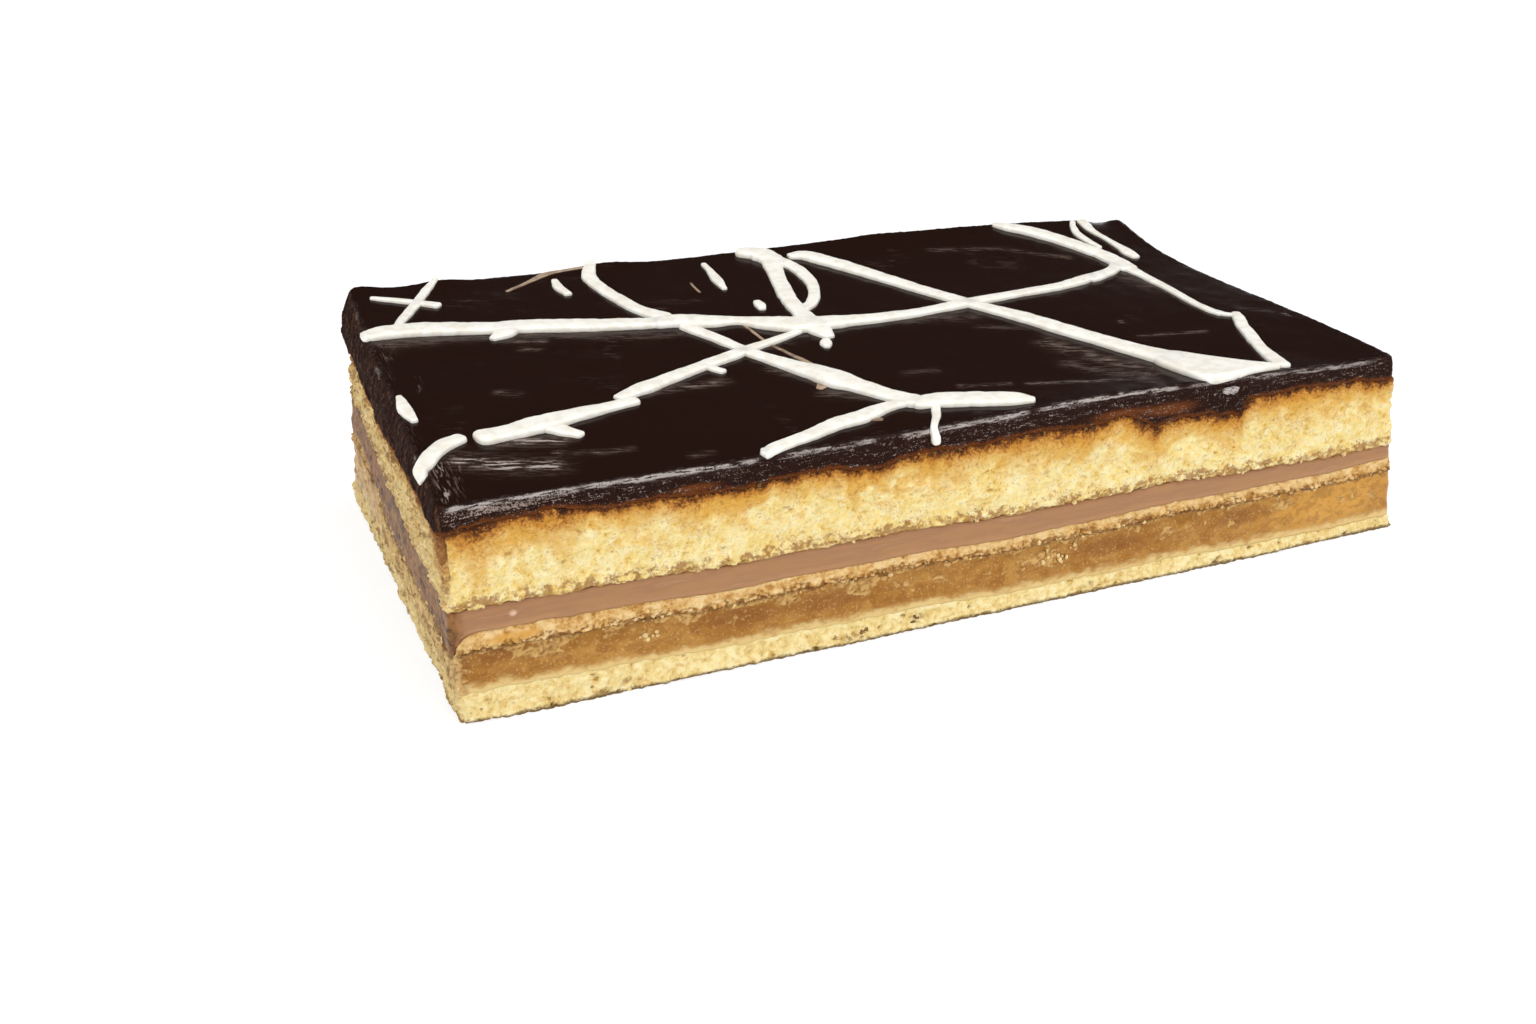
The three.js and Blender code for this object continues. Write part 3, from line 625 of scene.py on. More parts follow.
def spongeMaterial():
    material, tree, shader, place = newMaterial("yellow crumb")
    colors = screenColors(upperSponge["colors"])
    soakedHere = attribute(tree, "soaked")
    tint, medium, small = crumbTint(tree, place, upperSponge["crumb"])
    broad = grain(tree, place, 4.6, 3, 0.6, 0.4)
    low = ranged(tree, attribute(tree, "below"), 10, 2, 0.1, 0.85)
    golden = product(tree, ranged(tree, broad, 0.44, 0.6), low)
    tint = blended(tree, golden, tint, blended(tree, 1.0, tint, colors["warm"], "MULTIPLY"))
    # Painted shade in the pits.
    tint = coated(tree, tint, [(attribute(tree, "pitShade"), 0.1, 0.9, 0.5, colors["pitShade"])])
    # Painted shade of short crooked crevices, in some places only.
    creviceShade = maths(tree, "ABSOLUTE", summed(tree, [(medium, 1.0)], -0.5), 0)
    creviceShade = product(tree, ranged(tree, creviceShade, 0.03, 0.004, 0, 0.6), ranged(tree, broad, 0.5, 0.62))
    tint = blended(tree, creviceShade, tint, colors["creviceShade"])
    # Icing soaks in from above: golden, orange, brown, then chocolate. The torn foot is speckled olive brown.
    soaked = summed(tree, [(soakedHere, 1.0), (medium, 1.1), (small, 1.1)], -1.1)
    torn = summed(tree, [(attribute(tree, "torn"), 1.0), (small, 1.7), (medium, 0.5)], -1.07)
    footLine = summed(tree, [(attribute(tree, "above"), 1.0), (small, 0.9), (medium, 1.2)], -1.05)
    tint = coated(tree, tint, [
        (soaked, -0.75, 0.3, 0.75, colors["golden"]),
        (soaked, 0.16, 0.66, 0.8, colors["orange"]),
        (soaked, 0.58, 0.9, 0.95, colors["soaked"]),
        (soaked, 0.82, 1.05, 0.97, colors["chocolate"]),
        (torn, 0.08, 0.58, 0.8, colors["speck"]),
        (footLine, 0.55, 0.1, 0.55, colors["speck"]),
    ])
    tint = tornLeft(tree, place, tint, colors, 0.7)
    leftSoak = summed(tree, [(soakedHere, 1.0), (medium, 2.0), (small, 1.2)], -2.1)
    left = ranged(tree, attribute(tree, "leftSide"), 0.86, 1.0)
    leftSoak = product(tree, ranged(tree, leftSoak, -0.9, 0.2, 0, 0.8), left)
    tint = blended(tree, leftSoak, tint, colors["soaked"])
    setSurface(tree, shader, tint, crumbBump(tree, place, small, 0.34), 0.8, 0.16, 0.12)
    return material


# Thin sponge under the mousse: dense and peach, with a ragged lip over the caramel.
middleSponge = {
    "rows": 11, "crag": (0.3, 31),
    "puffs": (0.3, 0.45, 2.3, 1.3, 301, 3), "lipPuffs": (0.6, 0.35, 1.2, 0.8, 331, 2),
    "lipOut": 0.3, "lipWave": (0.8, 3.1, 1, 321, 2),
    "lipBand": (1.9, 0.5), "lipBandWave": (0.5, 4, 1, 341, 2), "thinnest": 0.25,
    "lipLumps": [(-90, 15.1, 2.2, 1.2, 0.5), (-86.4, 14.6, 1.6, 0.9, 0.3)],
    "goldSpot": (-83.7, 14.6, 3.4, 0.7),
    "lidEdge": (0.2, 0.4), "footEdge": (0.25, 0.25),
    "hiddenBack": 1.1, "hiddenBelow": 0.6,  # drawn in where the mousse covers it on the left
    # Crumb colour ramp. Its dark end is the painted shade in the clefts.
    "crumb": [(0.0, (132, 84, 34)), (0.2, (180, 128, 62)), (0.42, (206, 156, 86)), (0.7, (224, 182, 116)),
              (1.0, (240, 210, 154))],
    # Colours, among them a painted shadow under the lip.
    "colors": {
        "gold": (222, 164, 76), "cream": (236, 200, 142), "brown": (150, 98, 42), "line": (96, 56, 22),
        "leftPaleAndHighlight": (186, 148, 100), "tornDark": (118, 82, 46),
    },
}


def middleSpongeRelief(wide, z, t):
    shape = middleSponge
    walked = wide["walked"]
    foot, lid = z[0][None, :], z[-1][None, :]
    puff, puffLift = lumps(walked, z, shape["puffs"])
    lipPuff, lipLift = lumps(walked, z, shape["lipPuffs"])
    lip = shape["lipOut"] * (1 - t) * (1 + swell(walked, 0 * z, shape["lipWave"]))
    lip = lip * smoothStep(0.998, 0.97, wide["u"])
    band = smoothStep(*shape["lipBand"], z - foot + swell(walked, 0 * z, shape["lipBandWave"]))
    push = waver(wide, z) + crags(walked, z, t, *shape["crag"]) + puffLift + lip
    push = push + frontSpots(walked, z, shape["lipLumps"]) + band * lipLift
    push = push + drawnIn(lid - z, *shape["lidEdge"]) + drawnIn(z - foot, *shape["footEdge"])
    push = push + drawnIn(lid - foot, shape["hiddenBack"], shape["hiddenBelow"])
    gold = frontSpot(walked, z, *shape["goldSpot"])
    return push, {"puffShading": puff, "torn": band * (1 - lipPuff), "gold": gold}


def middleMaterial():
    material, tree, shader, place = newMaterial("peach crumb")
    colors = screenColors(middleSponge["colors"])
    tint, medium, small = crumbTint(tree, place, middleSponge["crumb"])
    tint = coated(tree, tint, [(attribute(tree, "gold"), 0.1, 0.8, 0.8, colors["gold"])])
    nearLid = ranged(tree, attribute(tree, "below"), 1.7, 0.4)
    creamy = product(tree, nearLid, ranged(tree, medium, 0.4, 0.58, 0, 0.6))
    tint = blended(tree, creamy, tint, colors["cream"])
    torn = summed(tree, [(attribute(tree, "torn"), 1.0), (small, 0.8)], -0.42)
    # Painted shadow along the underside of the lip, at the foot of the layer.
    lipLine = summed(tree, [(attribute(tree, "above"), 1.0), (small, 0.9), (medium, 1.9)], -1.4)
    tint = coated(tree, tint, [
        (torn, 0.16, 0.6, 0.85, colors["brown"]),
        (lipLine, 0.5, 0.05, 0.75, colors["line"]),
    ])
    tint = tornLeft(tree, place, tint, colors, 0.7)
    setSurface(tree, shader, tint, crumbBump(tree, place, small, 0.32), 0.78, 0.25, 0.14)
    return material


# Soaked sponge with caramel: smooth and wet below, with crumbs hanging from its lid.
caramelLayer = {
    "rows": 25, "crag": (0.3, 21),
    "wet": (0.12, 3.4, 1.8, 401, 2), "crumbFields": [(0.75, 5.5, 3.4, 411, 2), (0.35, 1.5, 1.2, 415, 2)],
    "crumbPuffs": (0.4, 0.3, 1.7, 1.2, 421, 2), "leftTears": (0.4, 0.4, 4.0, 2.6, 451, 2),
    "recess": 0.5, "wellDepth": 0.15,
    # Crumb clusters and smooth dark wells: place along the front, height, reach along, reach up.
    "clusters": [(-78.2, 10.4, 5.0, 1.5), (-62.7, 9.8, 1.4, 1.1), (-55.6, 11, 3, 1), (-20, 11, 6, 1.1),
                 (14.5, 8.9, 5, 1.4), (-37, 10.6, 2.4, 0.9), (44, 9, 3.5, 1), (67, 9.4, 2.6, 1.1)],
    "wells": [(-86.8, 12, 2.6, 1.4), (-93, 10.4, 1.2, 3), (-45, 9.4, 5, 1.2), (-29, 9, 5, 1.1),
              (28, 8.6, 6, 1.1), (57, 9, 5, 1.0)],
    "brightEnd": (78, 9, 13, 5),  # the right end is painted a brighter amber
    # Colours, among them a painted shadow under the peach lip and painted shade in the crumb clefts.
    "colors": {
        "deep": (132, 77, 20), "amber": (163, 110, 38), "clear": (184, 134, 62), "foot": (226, 196, 132),
        "crumbCleftShade": (146, 98, 44), "crumbHigh": (214, 172, 106), "dark": (110, 66, 26),
        "dusty": (218, 188, 132), "bright": (226, 168, 74), "leftPaleAndHighlight": (206, 172, 114),
        "tornDark": (128, 86, 40),
    },
}


def caramelRelief(wide, z, t):
    shape = caramelLayer
    walked, left = wide["walked"], leftShare(wide["u"])
    fromFoot, fromLid = z - z[0][None, :], z[-1][None, :] - z
    crumbly = left ** 6 * smoothStep(0.72, 0.6, wide["v"])  # the left side is crumb as far back as this
    field = sum(swell(walked, z, relief) for relief in shape["crumbFields"]) - 0.42
    field = field + 0.95 * frontSpots(walked, z, shape["clusters"])
    field = field + 0.9 * smoothStep(1.7, 0.2, fromLid) + 1.2 * crumbly
    cluster = smoothStep(0.05, 0.5, field) * smoothStep(0.18, 0.42, t)
    cluster = np.maximum(cluster, 0.9 * crumbly)
    deep = np.clip(frontSpots(walked, z, shape["wells"]), 0, 1)
    puff, crumbLift = lumps(walked, z, shape["crumbPuffs"])
    loose = swell(walked, z, shape["wet"]) + cluster * crumbLift - shape["wellDepth"] * deep
    loose = loose + leftTears(wide, z, shape["leftTears"])
    recess = shape["recess"] * smoothStep(0.45, 1, t) * (1 - left) * smoothStep(0.995, 0.95, wide["u"])
    push = waver(wide, z) + crags(walked, z, t, *shape["crag"]) - recess
    push = push + loose * smoothStep(0, 1.2, fromFoot)
    bright = frontSpot(walked, z, *shape["brightEnd"])
    return push, {"puffShading": puff, "cluster": cluster, "deep": deep, "bright": bright}


def caramelMaterial():
    material, tree, shader, place = newMaterial("soaked crumb")
    colors = screenColors(caramelLayer["colors"])
    broad = grain(tree, place, 6.0, 2, 0.5, 0.5)
    medium = grain(tree, stretched(tree, place, (1.4, 1.4, 0.85)), 1.7, 3, 0.6, 0.3)
    small = grain(tree, place, 0.5, 3, 0.65)
    tint = blended(tree, ranged(tree, broad, 0.4, 0.62), colors["amber"], colors["clear"])
    deep = summed(tree, [(attribute(tree, "deep"), 0.8), (broad, 1.0)], -0.35)
    footShare = summed(tree, [(attribute(tree, "above"), 1.0), (medium, 3.4), (small, 1.0)], -2.2)
    # The crumbs that hang into it, with painted shade in their clefts, dusty on the left side.
    crumbValue = summed(tree, [(attribute(tree, "puffShading"), 0.7), (small, 0.9)], -0.3)
    crumbTone = blended(tree, ranged(tree, crumbValue, 0.1, 0.8), colors["crumbCleftShade"], colors["crumbHigh"])
    left = ranged(tree, attribute(tree, "leftSide"), 0.86, 1.0)
    dusty = product(tree, left, ranged(tree, crumbValue, 0.0, 0.5))
    crumbTone = blended(tree, dusty, crumbTone, colors["dusty"])
    share = summed(tree, [(attribute(tree, "cluster"), 1.0), (medium, 0.9), (small, 0.5)], -0.7)
    # Painted shadow under the peach lip, along the top of the layer.
    lipShadowShare = summed(tree, [(attribute(tree, "below"), 1.0), (small, 1.3), (medium, 1.8)], -1.5)
    tint = coated(tree, tint, [
        (attribute(tree, "bright"), 0.1, 0.9, 0.6, colors["bright"]),
        (deep, 0.12, 0.85, 0.7, colors["deep"]),
        (medium, 0.56, 0.4, 0.4, colors["deep"]),
        (small, 0.54, 0.66, 0.45, colors["crumbHigh"]),
        (footShare, 2.0, 0.2, 0.92, colors["foot"]),
        (share, 0.15, 0.6, 0.9, crumbTone),
        (lipShadowShare, 0.9, 0.2, 0.7, colors["dark"]),
    ])
    tint = tornLeft(tree, place, tint, colors, 0.75)
    bump = bumped(tree, product(tree, small, ranged(tree, share, 0.1, 0.6, 0.15, 1)), 0.3, 0.8)
    roughness = ranged(tree, share, 0.1, 0.6, 0.36, 0.75)
    setSurface(tree, shader, tint, bump, roughness, 0.22, 0.12, (1.0, 0.55, 0.2), 1.6)
    return material


# Mocha mousse: smooth, faintly combed by the knife.
mochaMousse = {
    "rows": 14, "crag": (0.16, 41), "hollow": 0.1,
    "combed": (0.06, 12, 1.1, 501, 2), "smear": (0.22, 2.2, 1.7, 511, 3),
    # The swirl's curl and fleck are raised and painted pale as highlights: place along the front, height,
    # reach along, reach up, strength.
    "curl": (-87, 16.8, 4, 0.5, 0.3), "curlSlope": 0.12, "curlStart": 6,
    "fleck": (-83.6, 18.7, 0.5, 0.45, 0.5),
    "footEdge": (0.14, 0.4), "lidEdge": (0.3, 0.5),
    "colors": {
        "mocha": (172, 127, 87), "rose": (164, 120, 86), "cream": (192, 148, 108),
        "leftLight": (150, 102, 54), "leftDark": (86, 50, 22), "fleck": (226, 192, 168),
        "leftPaleAndHighlight": (130, 90, 52), "tornDark": (66, 38, 18),
    },
}


def mousseRelief(wide, z, t):
    shape = mochaMousse
    walked, left = wide["walked"], leftShare(wide["u"])
    fromFoot, fromLid = z - z[0][None, :], z[-1][None, :] - z
    smear = left ** 2 * swell(walked + 0.8 * z, z, shape["smear"])
    curl = frontSpot(walked, z + shape["curlSlope"] * (walked - shape["curlStart"]), *shape["curl"])
    fleck = frontSpot(walked, z, *shape["fleck"])
    push = waver(wide, z) - shape["hollow"] * np.sin(math.pi * t) + crags(walked, z, t, *shape["crag"])
    push = push + swell(walked, z, shape["combed"]) + smear + leftBulge("middle", wide, t) + curl + fleck
    push = push + drawnIn(fromFoot, *shape["footEdge"]) + drawnIn(fromLid, *shape["lidEdge"])
    return push, {"fleck": np.clip(2 * fleck + 0.8 * curl, 0, 1)}


def mousseMaterial():
    material, tree, shader, place = newMaterial("mocha mousse")
    colors = screenColors(mochaMousse["colors"])
    combed = grain(tree, stretched(tree, place, (6, 6, 0.8)), 1.5, 3, 0.6)
    streak = grain(tree, stretched(tree, place, (1, 2, 0.8)), 1.5, 4, 0.65, 0.6)
    tint = blended(tree, ranged(tree, combed, 0.4, 0.62), colors["mocha"], colors["rose"])
    # Cream in the combing and near the foot; the swirl's curl and fleck painted pale as highlights.
    tint = coated(tree, tint, [
        (combed, 0.58, 0.74, 0.5, colors["cream"]),
        (attribute(tree, "above"), 1.4, 0.3, 0.3, colors["cream"]),
        (attribute(tree, "fleck"), 0.2, 0.9, 0.8, colors["fleck"]),
    ])
    smear = blended(tree, ranged(tree, streak, 0.42, 0.66), colors["leftLight"], colors["leftDark"])
    tint = blended(tree, ranged(tree, attribute(tree, "leftSide"), 0.7, 0.98), tint, smear)
    tint = tornLeft(tree, place, tint, colors, 0.85)
    setSurface(tree, shader, tint, bumped(tree, combed, 0.12, 0.4), 0.5, 0.2, 0.18, (1.0, 0.6, 0.4), 1.4)
    return material


# Base sponge: pale crumb with a thin crust underneath.
baseSponge = {
    "rows": 15, "crag": (0.45, 11), "swell": (0.2, 4.4, 3, 611, 2),
    "puffs": (0.45, 0.45, 2.2, 1.5, 601, 3), "leftTears": (0.45, 0.4, 4.4, 3.2, 631, 2),
    "holes": (1, 2.6, 1.3, 621, 2), "holeRange": (0.66, 1.0), "holeDepth": 0.45,
    "spotLift": 0.3, "spotPuffs": (1.1, 0.9, 641, 2),
    "tuck": 0.3, "tuckReach": 0.45,
    "toe": 0.6, "toeBand": (3, 0.5), "leftTurn": 1.6,  # the foot stands out, and draws in on the left side
    "darkSpots": [(-26.1, 1.6, 1.6, 0.8), (-13.0, 2.3, 1.7, 0.7), (-66, 2.2, 1.2, 0.6), (-70, 1, 2, 0.5),
                  (22, 1.8, 1.5, 0.6), (51, 1.5, 1.2, 0.6)],
    # Crumb colour ramp. Its dark end is the painted shade in the clefts.
    "crumb": [(0.0, (158, 110, 48)), (0.16, (206, 166, 92)), (0.36, (230, 200, 130)),
              (0.65, (243, 218, 152)), (1.0, (251, 234, 180))],
    # Colours. The pore colour is painted shade in the pits and also darkens the listed dark spots.
    "colors": {
        "poreShadeAndSpots": (140, 98, 46), "crust": (96, 68, 34), "leftPaleAndHighlight": (212, 180, 122), "tornDark": (128, 88, 42),
    },
}


def baseRelief(wide, z, t):
    shape = baseSponge
    walked, left = wide["walked"], leftShare(wide["u"])
    puff, puffLift = lumps(walked, z, shape["puffs"])
    hole = smoothStep(*shape["holeRange"], swell(walked, z, shape["holes"]))
    spots = frontSpots(walked, z, shape["darkSpots"])
    toe = shape["toe"] * smoothStep(*shape["toeBand"], z) * (1 - shape["leftTurn"] * left)
    tuck = toe - shape["tuck"] * smoothStep(shape["tuckReach"], 0, z) ** 2
    loose = swell(walked, z, shape["swell"]) + puffLift + leftTears(wide, z, shape["leftTears"])
    spotCrumbs = shape["spotLift"] * spots * puffs(walked, z, *shape["spotPuffs"])
    loose = loose - shape["holeDepth"] * hole + spotCrumbs
    push = waver(wide, z) + crags(walked, z, t, *shape["crag"]) + tuck
    push = push + loose * smoothStep(0, 0.9, z[-1][None, :] - z)
    return push, {"puffShading": puff, "pitShade": np.clip(hole + spots * (1 - 0.6 * puff), 0, 1)}


def baseMaterial():
    material, tree, shader, place = newMaterial("base crumb")
    colors = screenColors(baseSponge["colors"])
    tint, medium, small = crumbTint(tree, place, baseSponge["crumb"])
    # Painted shade in the pits, with the listed dark spots in the same mask.
    pitShade = summed(tree, [(attribute(tree, "pitShade"), 1.0), (small, 0.7)], -0.35)
    height = summed(tree, [(attribute(tree, "above"), 1.0), (small, 0.8), (medium, 0.6)], -0.7)
    tint = coated(tree, tint, [
        (pitShade, 0.3, 0.85, 0.8, colors["poreShadeAndSpots"]),
        (height, 1.1, 0.35, 0.9, colors["crust"]),
    ])
    tint = tornLeft(tree, place, tint, colors, 0.75)
    setSurface(tree, shader, tint, crumbBump(tree, place, small, 0.32, 0.28), 0.82, 0.16, 0.12)
    return material


def buildLayers():
    columns = planColumns(*bar["columns"])
    ground = 0 * columns["u"]
    line = {name: meetingLine(name, columns) for name in bar["layerTops"]}
    caramelTop = np.minimum(line["caramel"], line["middle"])
    middleTop = np.maximum(line["middle"], caramelTop + middleSponge["thinnest"])
    innerU, innerV = insetPlan(columns, bar["rootInset"])
    heart = {name: layerTop(name, innerU, innerV) for name in bar["layerTops"]}
    # Each piece with its foot and lid on the cut side, what shapes it, and its foot further in.
    plans = [
        ("base", "base_crumb_sponge", ground, line["base"], baseSponge, baseRelief, ground),
        ("caramel", "soaked_caramel_sponge", line["base"], caramelTop, caramelLayer, caramelRelief,
         heart["base"]),
        ("middle", "thin_peach_sponge", caramelTop, middleTop, middleSponge, middleSpongeRelief,
         heart["caramel"]),
        ("mousse", "mocha_mousse_band", line["middle"], line["mousse"], mochaMousse, mousseRelief,
         heart["middle"]),
        ("sponge", "yellow_sponge", line["mousse"], line["sponge"], upperSponge, upperSpongeRelief,
         heart["mousse"]),
    ]
    return {key: makeLayer(name, columns, low, high, shape["rows"], relief, innerLow, heart[key])
            for key, name, low, high, shape, relief, innerLow in plans}


# Chocolate icing: a glossy face, a rounded rim and a rough cut side.
icing = {
    "countLength": 297, "countWidth": 152, "sideRows": 20, "rimRows": 5,
    "crag": (0.3, 61), "swollen": 0.1, "puffs": (0.2, 0.45, 1.9, 1.1, 701, 3),
    "drag": (0.3, 1.5, 6, 721, 3), "leftTears": (0.35, 0.4, 3.2, 4.2, 731, 2), "tearSlant": 0.7,
    "edgeWave": (0.15, 4.5, 1, 751, 3), "flakyCorner": (0.6, 1.6, 1, 755, 2), "flakyReach": 5,
    "rimFlakes": (0.1, 1.1, 2.6, 761, 2), "faceSink": 0.03,
    # Ripples of the face: size, how many along and across, seed.
    "ripples": [(0.05, 26, 13, 731), (0.03, 60, 31, 741)],
    # Where a highlight is painted along the front edge: from, to, strength.
    "shines": [(-92, -41, 1.0), (-37, -20, 0.75), (-14, 10, 0.9), (12, 42, 1.0), (42, 55, 0.5),
               (55, 88, 0.7)],
    "shineGaps": (1, 6, 1, 771, 2), "leftShine": (1, 7, 1, 781, 2),
    "rimFade": [0.8, 0.9, 0.4, 0, 0],
    # Warm and whitish patches on the cut side: place along the front, height, reach along, reach up.
    "warmPatches": [(40.5, 33.6, 4.2, 0.9), (-52, 34.6, 3, 0.5), (29, 34.4, 4, 0.6)],
    "flecks": [(-12.6, 37.2, 1.2, 0.5), (-84, 37, 6, 0.6)],
    # Brush marks on the face, painted lighter as sheen and partly a dull bloom: course, half width, strength.
    "sheenStrokes": [
        ([(-86.7, -33), (-81.6, -36.8), (-74, -39.2)], 1.7, 1.3),
        ([(-79.6, -28.7), (-70.4, -31.3)], 1.2, 1.1),
        ([(-72.2, -35.3), (-65.6, -37.3), (-60.4, -37.8)], 0.5, 0.9),
        ([(-50.6, -17.2), (-36.5, -17)], 1.0, 0.9), ([(-67.7, 12.6), (-61.3, 10.5)], 0.6, 0.8),
        ([(-66.2, 8.4), (-63.1, 7.2)], 0.6, 0.8), ([(-74.8, -9.5), (-72.1, -11.2)], 0.7, 0.8),
        ([(-88, 17.5), (-74, 17.5), (-56.5, 13.6), (-41.6, 10.7)], 1.6, 0.6),
        ([(-57.9, 12), (-43.8, 7.2), (-33, 6)], 0.9, 0.5), ([(2.6, -32.4), (11.5, -34.6)], 0.4, 0.9),
        ([(14.5, -35.8), (24.7, -38.5), (36.1, -40.6)], 0.45, 0.9),
        ([(29.4, -19.5), (33.2, -27.3), (38.1, -38)], 1.8, 0.8), ([(27, -29.8), (36.3, -41.8)], 1.4, 0.6),
        ([(33.8, 36), (49.1, 33.4), (62, 24.5)], 0.8, 0.6), ([(48.2, -21.9), (62.4, -23.4)], 0.5, 0.7),
        ([(9.4, 0), (15.4, -0.8), (22, -2.5)], 1.5, 0.6), ([(20.6, -7.3), (35, -13.8)], 0.8, 0.5),
        ([(66.7, 11.1), (68.5, 1)], 1.6, 0.5), ([(-26.5, -14.6), (-20.5, -21)], 0.8, 0.6),
        ([(-3.8, -23.6), (1.9, -24.4)], 0.7, 0.5), ([(-52.1, -43), (-48.7, -43)], 0.5, 0.8),
        ([(78, -14.3), (82.8, -17.8)], 0.6, 0.4), ([(-22, -27.5), (-15, -31), (-12, -34)], 1.0, 0.6),
        ([(49.2, -13.8), (49.7, -14)], 0.35, 1.6), ([(84.8, -20), (84.9, -20.8)], 0.35, 1.4),
    ],
    # Painted highlight streaks that run along the left edge: course, half width, strength.
    "creaseHighlights": [
        ([(-90.6, -34), (-91.6, -45)], 1.3, 1.0), ([(-88, -35), (-89.3, -43)], 0.5, 0.8),
        ([(-92, 20), (-92.2, 2)], 0.9, 0.8), ([(-90.4, 17), (-90, 12)], 1.2, 0.7),
        ([(-92.4, -4), (-92.6, -24)], 0.6, 0.7), ([(-86.5, 1), (-87.5, -5)], 0.35, 0.8),
    ],
    # Colours, among them painted shade in the clefts, and painted highlights and sheen on the left streaks,
    # the specks, the rim and the brush marks.
    "colors": {
        "face": (33, 18, 13), "side": (42, 22, 16), "cleftShade": (24, 11, 8), "speck": (176, 156, 146),
        "foot": (116, 62, 24), "streak": (110, 74, 50), "paintedHighlight": (198, 188, 182), "sheenMark": (108, 90, 80),
        "leftBrown": (104, 66, 40),
    },
}


def icingSideRelief(wide, z, t):
    shape = icing
    walked, left = wide["walked"], leftShare(wide["u"])
    puff, puffLift = lumps(walked, z, shape["puffs"])
    push = waver(wide, z) + shape["swollen"] * np.sin(math.pi * t) + crags(walked, z, t, *shape["crag"])
    push = push + puffLift + left ** 2 * swell(walked + 0.5 * z, z, shape["drag"])
    push = push + leftTears(wide, z, shape["leftTears"], shape["tearSlant"]) + leftBulge("sponge", wide, t)
    return push, puff


def icingFace(u, v):
    z = icingTop(u, v)
    for size, along, across, seed in icing["ripples"]:
        z = z + size * slopeNoise(u * along, v * across, seed)
    return z


# The side's upper edge wavers a little, and is flaky at the back left corner.
def icingShoulder(columns):
    walked = columns["walked"]
    backLeft = bell(walked - 2 * bar["length"] - bar["width"], icing["flakyReach"])
    z = icingFace(columns["u"], columns["v"]) - bar["rimDrop"] + swell(walked, 0 * walked, icing["edgeWave"])
    return z + backLeft * swell(walked, 0 * walked, icing["flakyCorner"])


# The rim turns from the side to the face on a quarter round.
def icingRim(columns, shoulderRing):
    rimU, rimV = insetPlan(columns, bar["rimInset"])
    rim = barPoint(rimU, rimV, icingFace(rimU, rimV) - icing["faceSink"])
    rings = []
    for row in range(1, icing["rimRows"] + 1):
        angle = 0.5 * math.pi * row / icing["rimRows"]
        ring = shoulderRing.copy()
        ring[:, :2] = mix(shoulderRing[:, :2], rim[:, :2], 1 - math.cos(angle))
        ring[:, 2] = mix(shoulderRing[:, 2], rim[:, 2], math.sin(angle))
        flakes = swell(columns["walked"], 0 * columns["walked"] + row, icing["rimFlakes"])
        ring[:, 2] += flakes * math.sin(2 * angle)
        rings.append(ring)
    return np.array(rings)


# The face is a grid, inset from the plan by the rim.
def icingGrid():
    nx, ny = icing["countLength"], icing["countWidth"]
    gridX, gridY = np.meshgrid(np.arange(nx + 1) / nx * bar["length"] - bar["length"] / 2,
                               np.arange(ny + 1) / ny * bar["width"] - bar["width"] / 2, indexing="ij")
    planX, planY, _, _ = roundedPlan(gridX, gridY)
    u = 0.5 + planX / bar["length"] * (1 - 2 * bar["rimInset"] / bar["length"])
    v = 0.5 + planY / bar["width"] * (1 - 2 * bar["rimInset"] / bar["width"])
    return barPoint(u, v, icingFace(u, v) - icing["faceSink"])


# Faces of the grid. Its border uses every second point of the rim, and slivers take up the others.
def icingGridFaces(lastRing, count):
    nx, ny = icing["countLength"], icing["countWidth"]
    step, up = np.arange(nx), np.arange(ny)
    border = np.concatenate([step * (ny + 1), nx * (ny + 1) + up,
                             (nx - step) * (ny + 1) + ny, ny - up])
    inner = np.ones((nx + 1) * (ny + 1), bool)
    inner[border] = False
    index = np.zeros(inner.size, int)
    index[inner] = lastRing + count + np.arange(inner.sum())
    index[border] = lastRing + 2 * np.arange(len(border))
    index = index.reshape(nx + 1, ny + 1)
    quads = np.stack([index[:-1, :-1], index[1:, :-1], index[1:, 1:], index[:-1, 1:]], -1).reshape(-1, 4)
    even = np.arange(0, count, 2)
    slivers = np.stack([lastRing + even, lastRing + even + 1, lastRing + (even + 2) % count], -1)
    return inner, quads.tolist() + slivers.tolist()


# How strongly a highlight is painted on the rim at each column.
def rimShine(columns):
    walked, left = columns["walked"], leftShare(columns["u"])
    shine = 0 * walked
    for low, high, strength in icing["shines"]:
        start, end = alongFront(low), alongFront(high)
        rise, fall = smoothStep(start - 2, start + 1, walked), smoothStep(end + 2, end - 1, walked)
        shine = np.maximum(shine, strength * rise * fall)
    gaps = mix(0.55, 1, smoothStep(-0.6, 0.3, swell(walked, 0 * walked, icing["shineGaps"])))
    shine = shine * (walked < bar["length"]) * gaps
    leftShine = 0.5 * left * smoothStep(0, 0.5, swell(walked, 0 * walked, icing["leftShine"]))
    return np.maximum(shine, leftShine)


def distanceToCourse(x, y, course):
    nearest = np.full(x.shape, 1e9)
    for (ax, ay), (bx, by) in zip(course[:-1], course[1:]):
        size = (bx - ax) ** 2 + (by - ay) ** 2
        t = np.clip(((x - ax) * (bx - ax) + (y - ay) * (by - ay)) / size, 0, 1)
        nearest = np.minimum(nearest, np.hypot(x - ax - t * (bx - ax), y - ay - t * (by - ay)))
    return nearest


def strokes(face, courses):
    total = np.zeros(face.shape[:2])
    for course, halfWidth, strength in courses:
        reach = distanceToCourse(face[..., 0], face[..., 1], course)
        total = np.maximum(total, strength * bell(reach, halfWidth))
    return total.ravel()


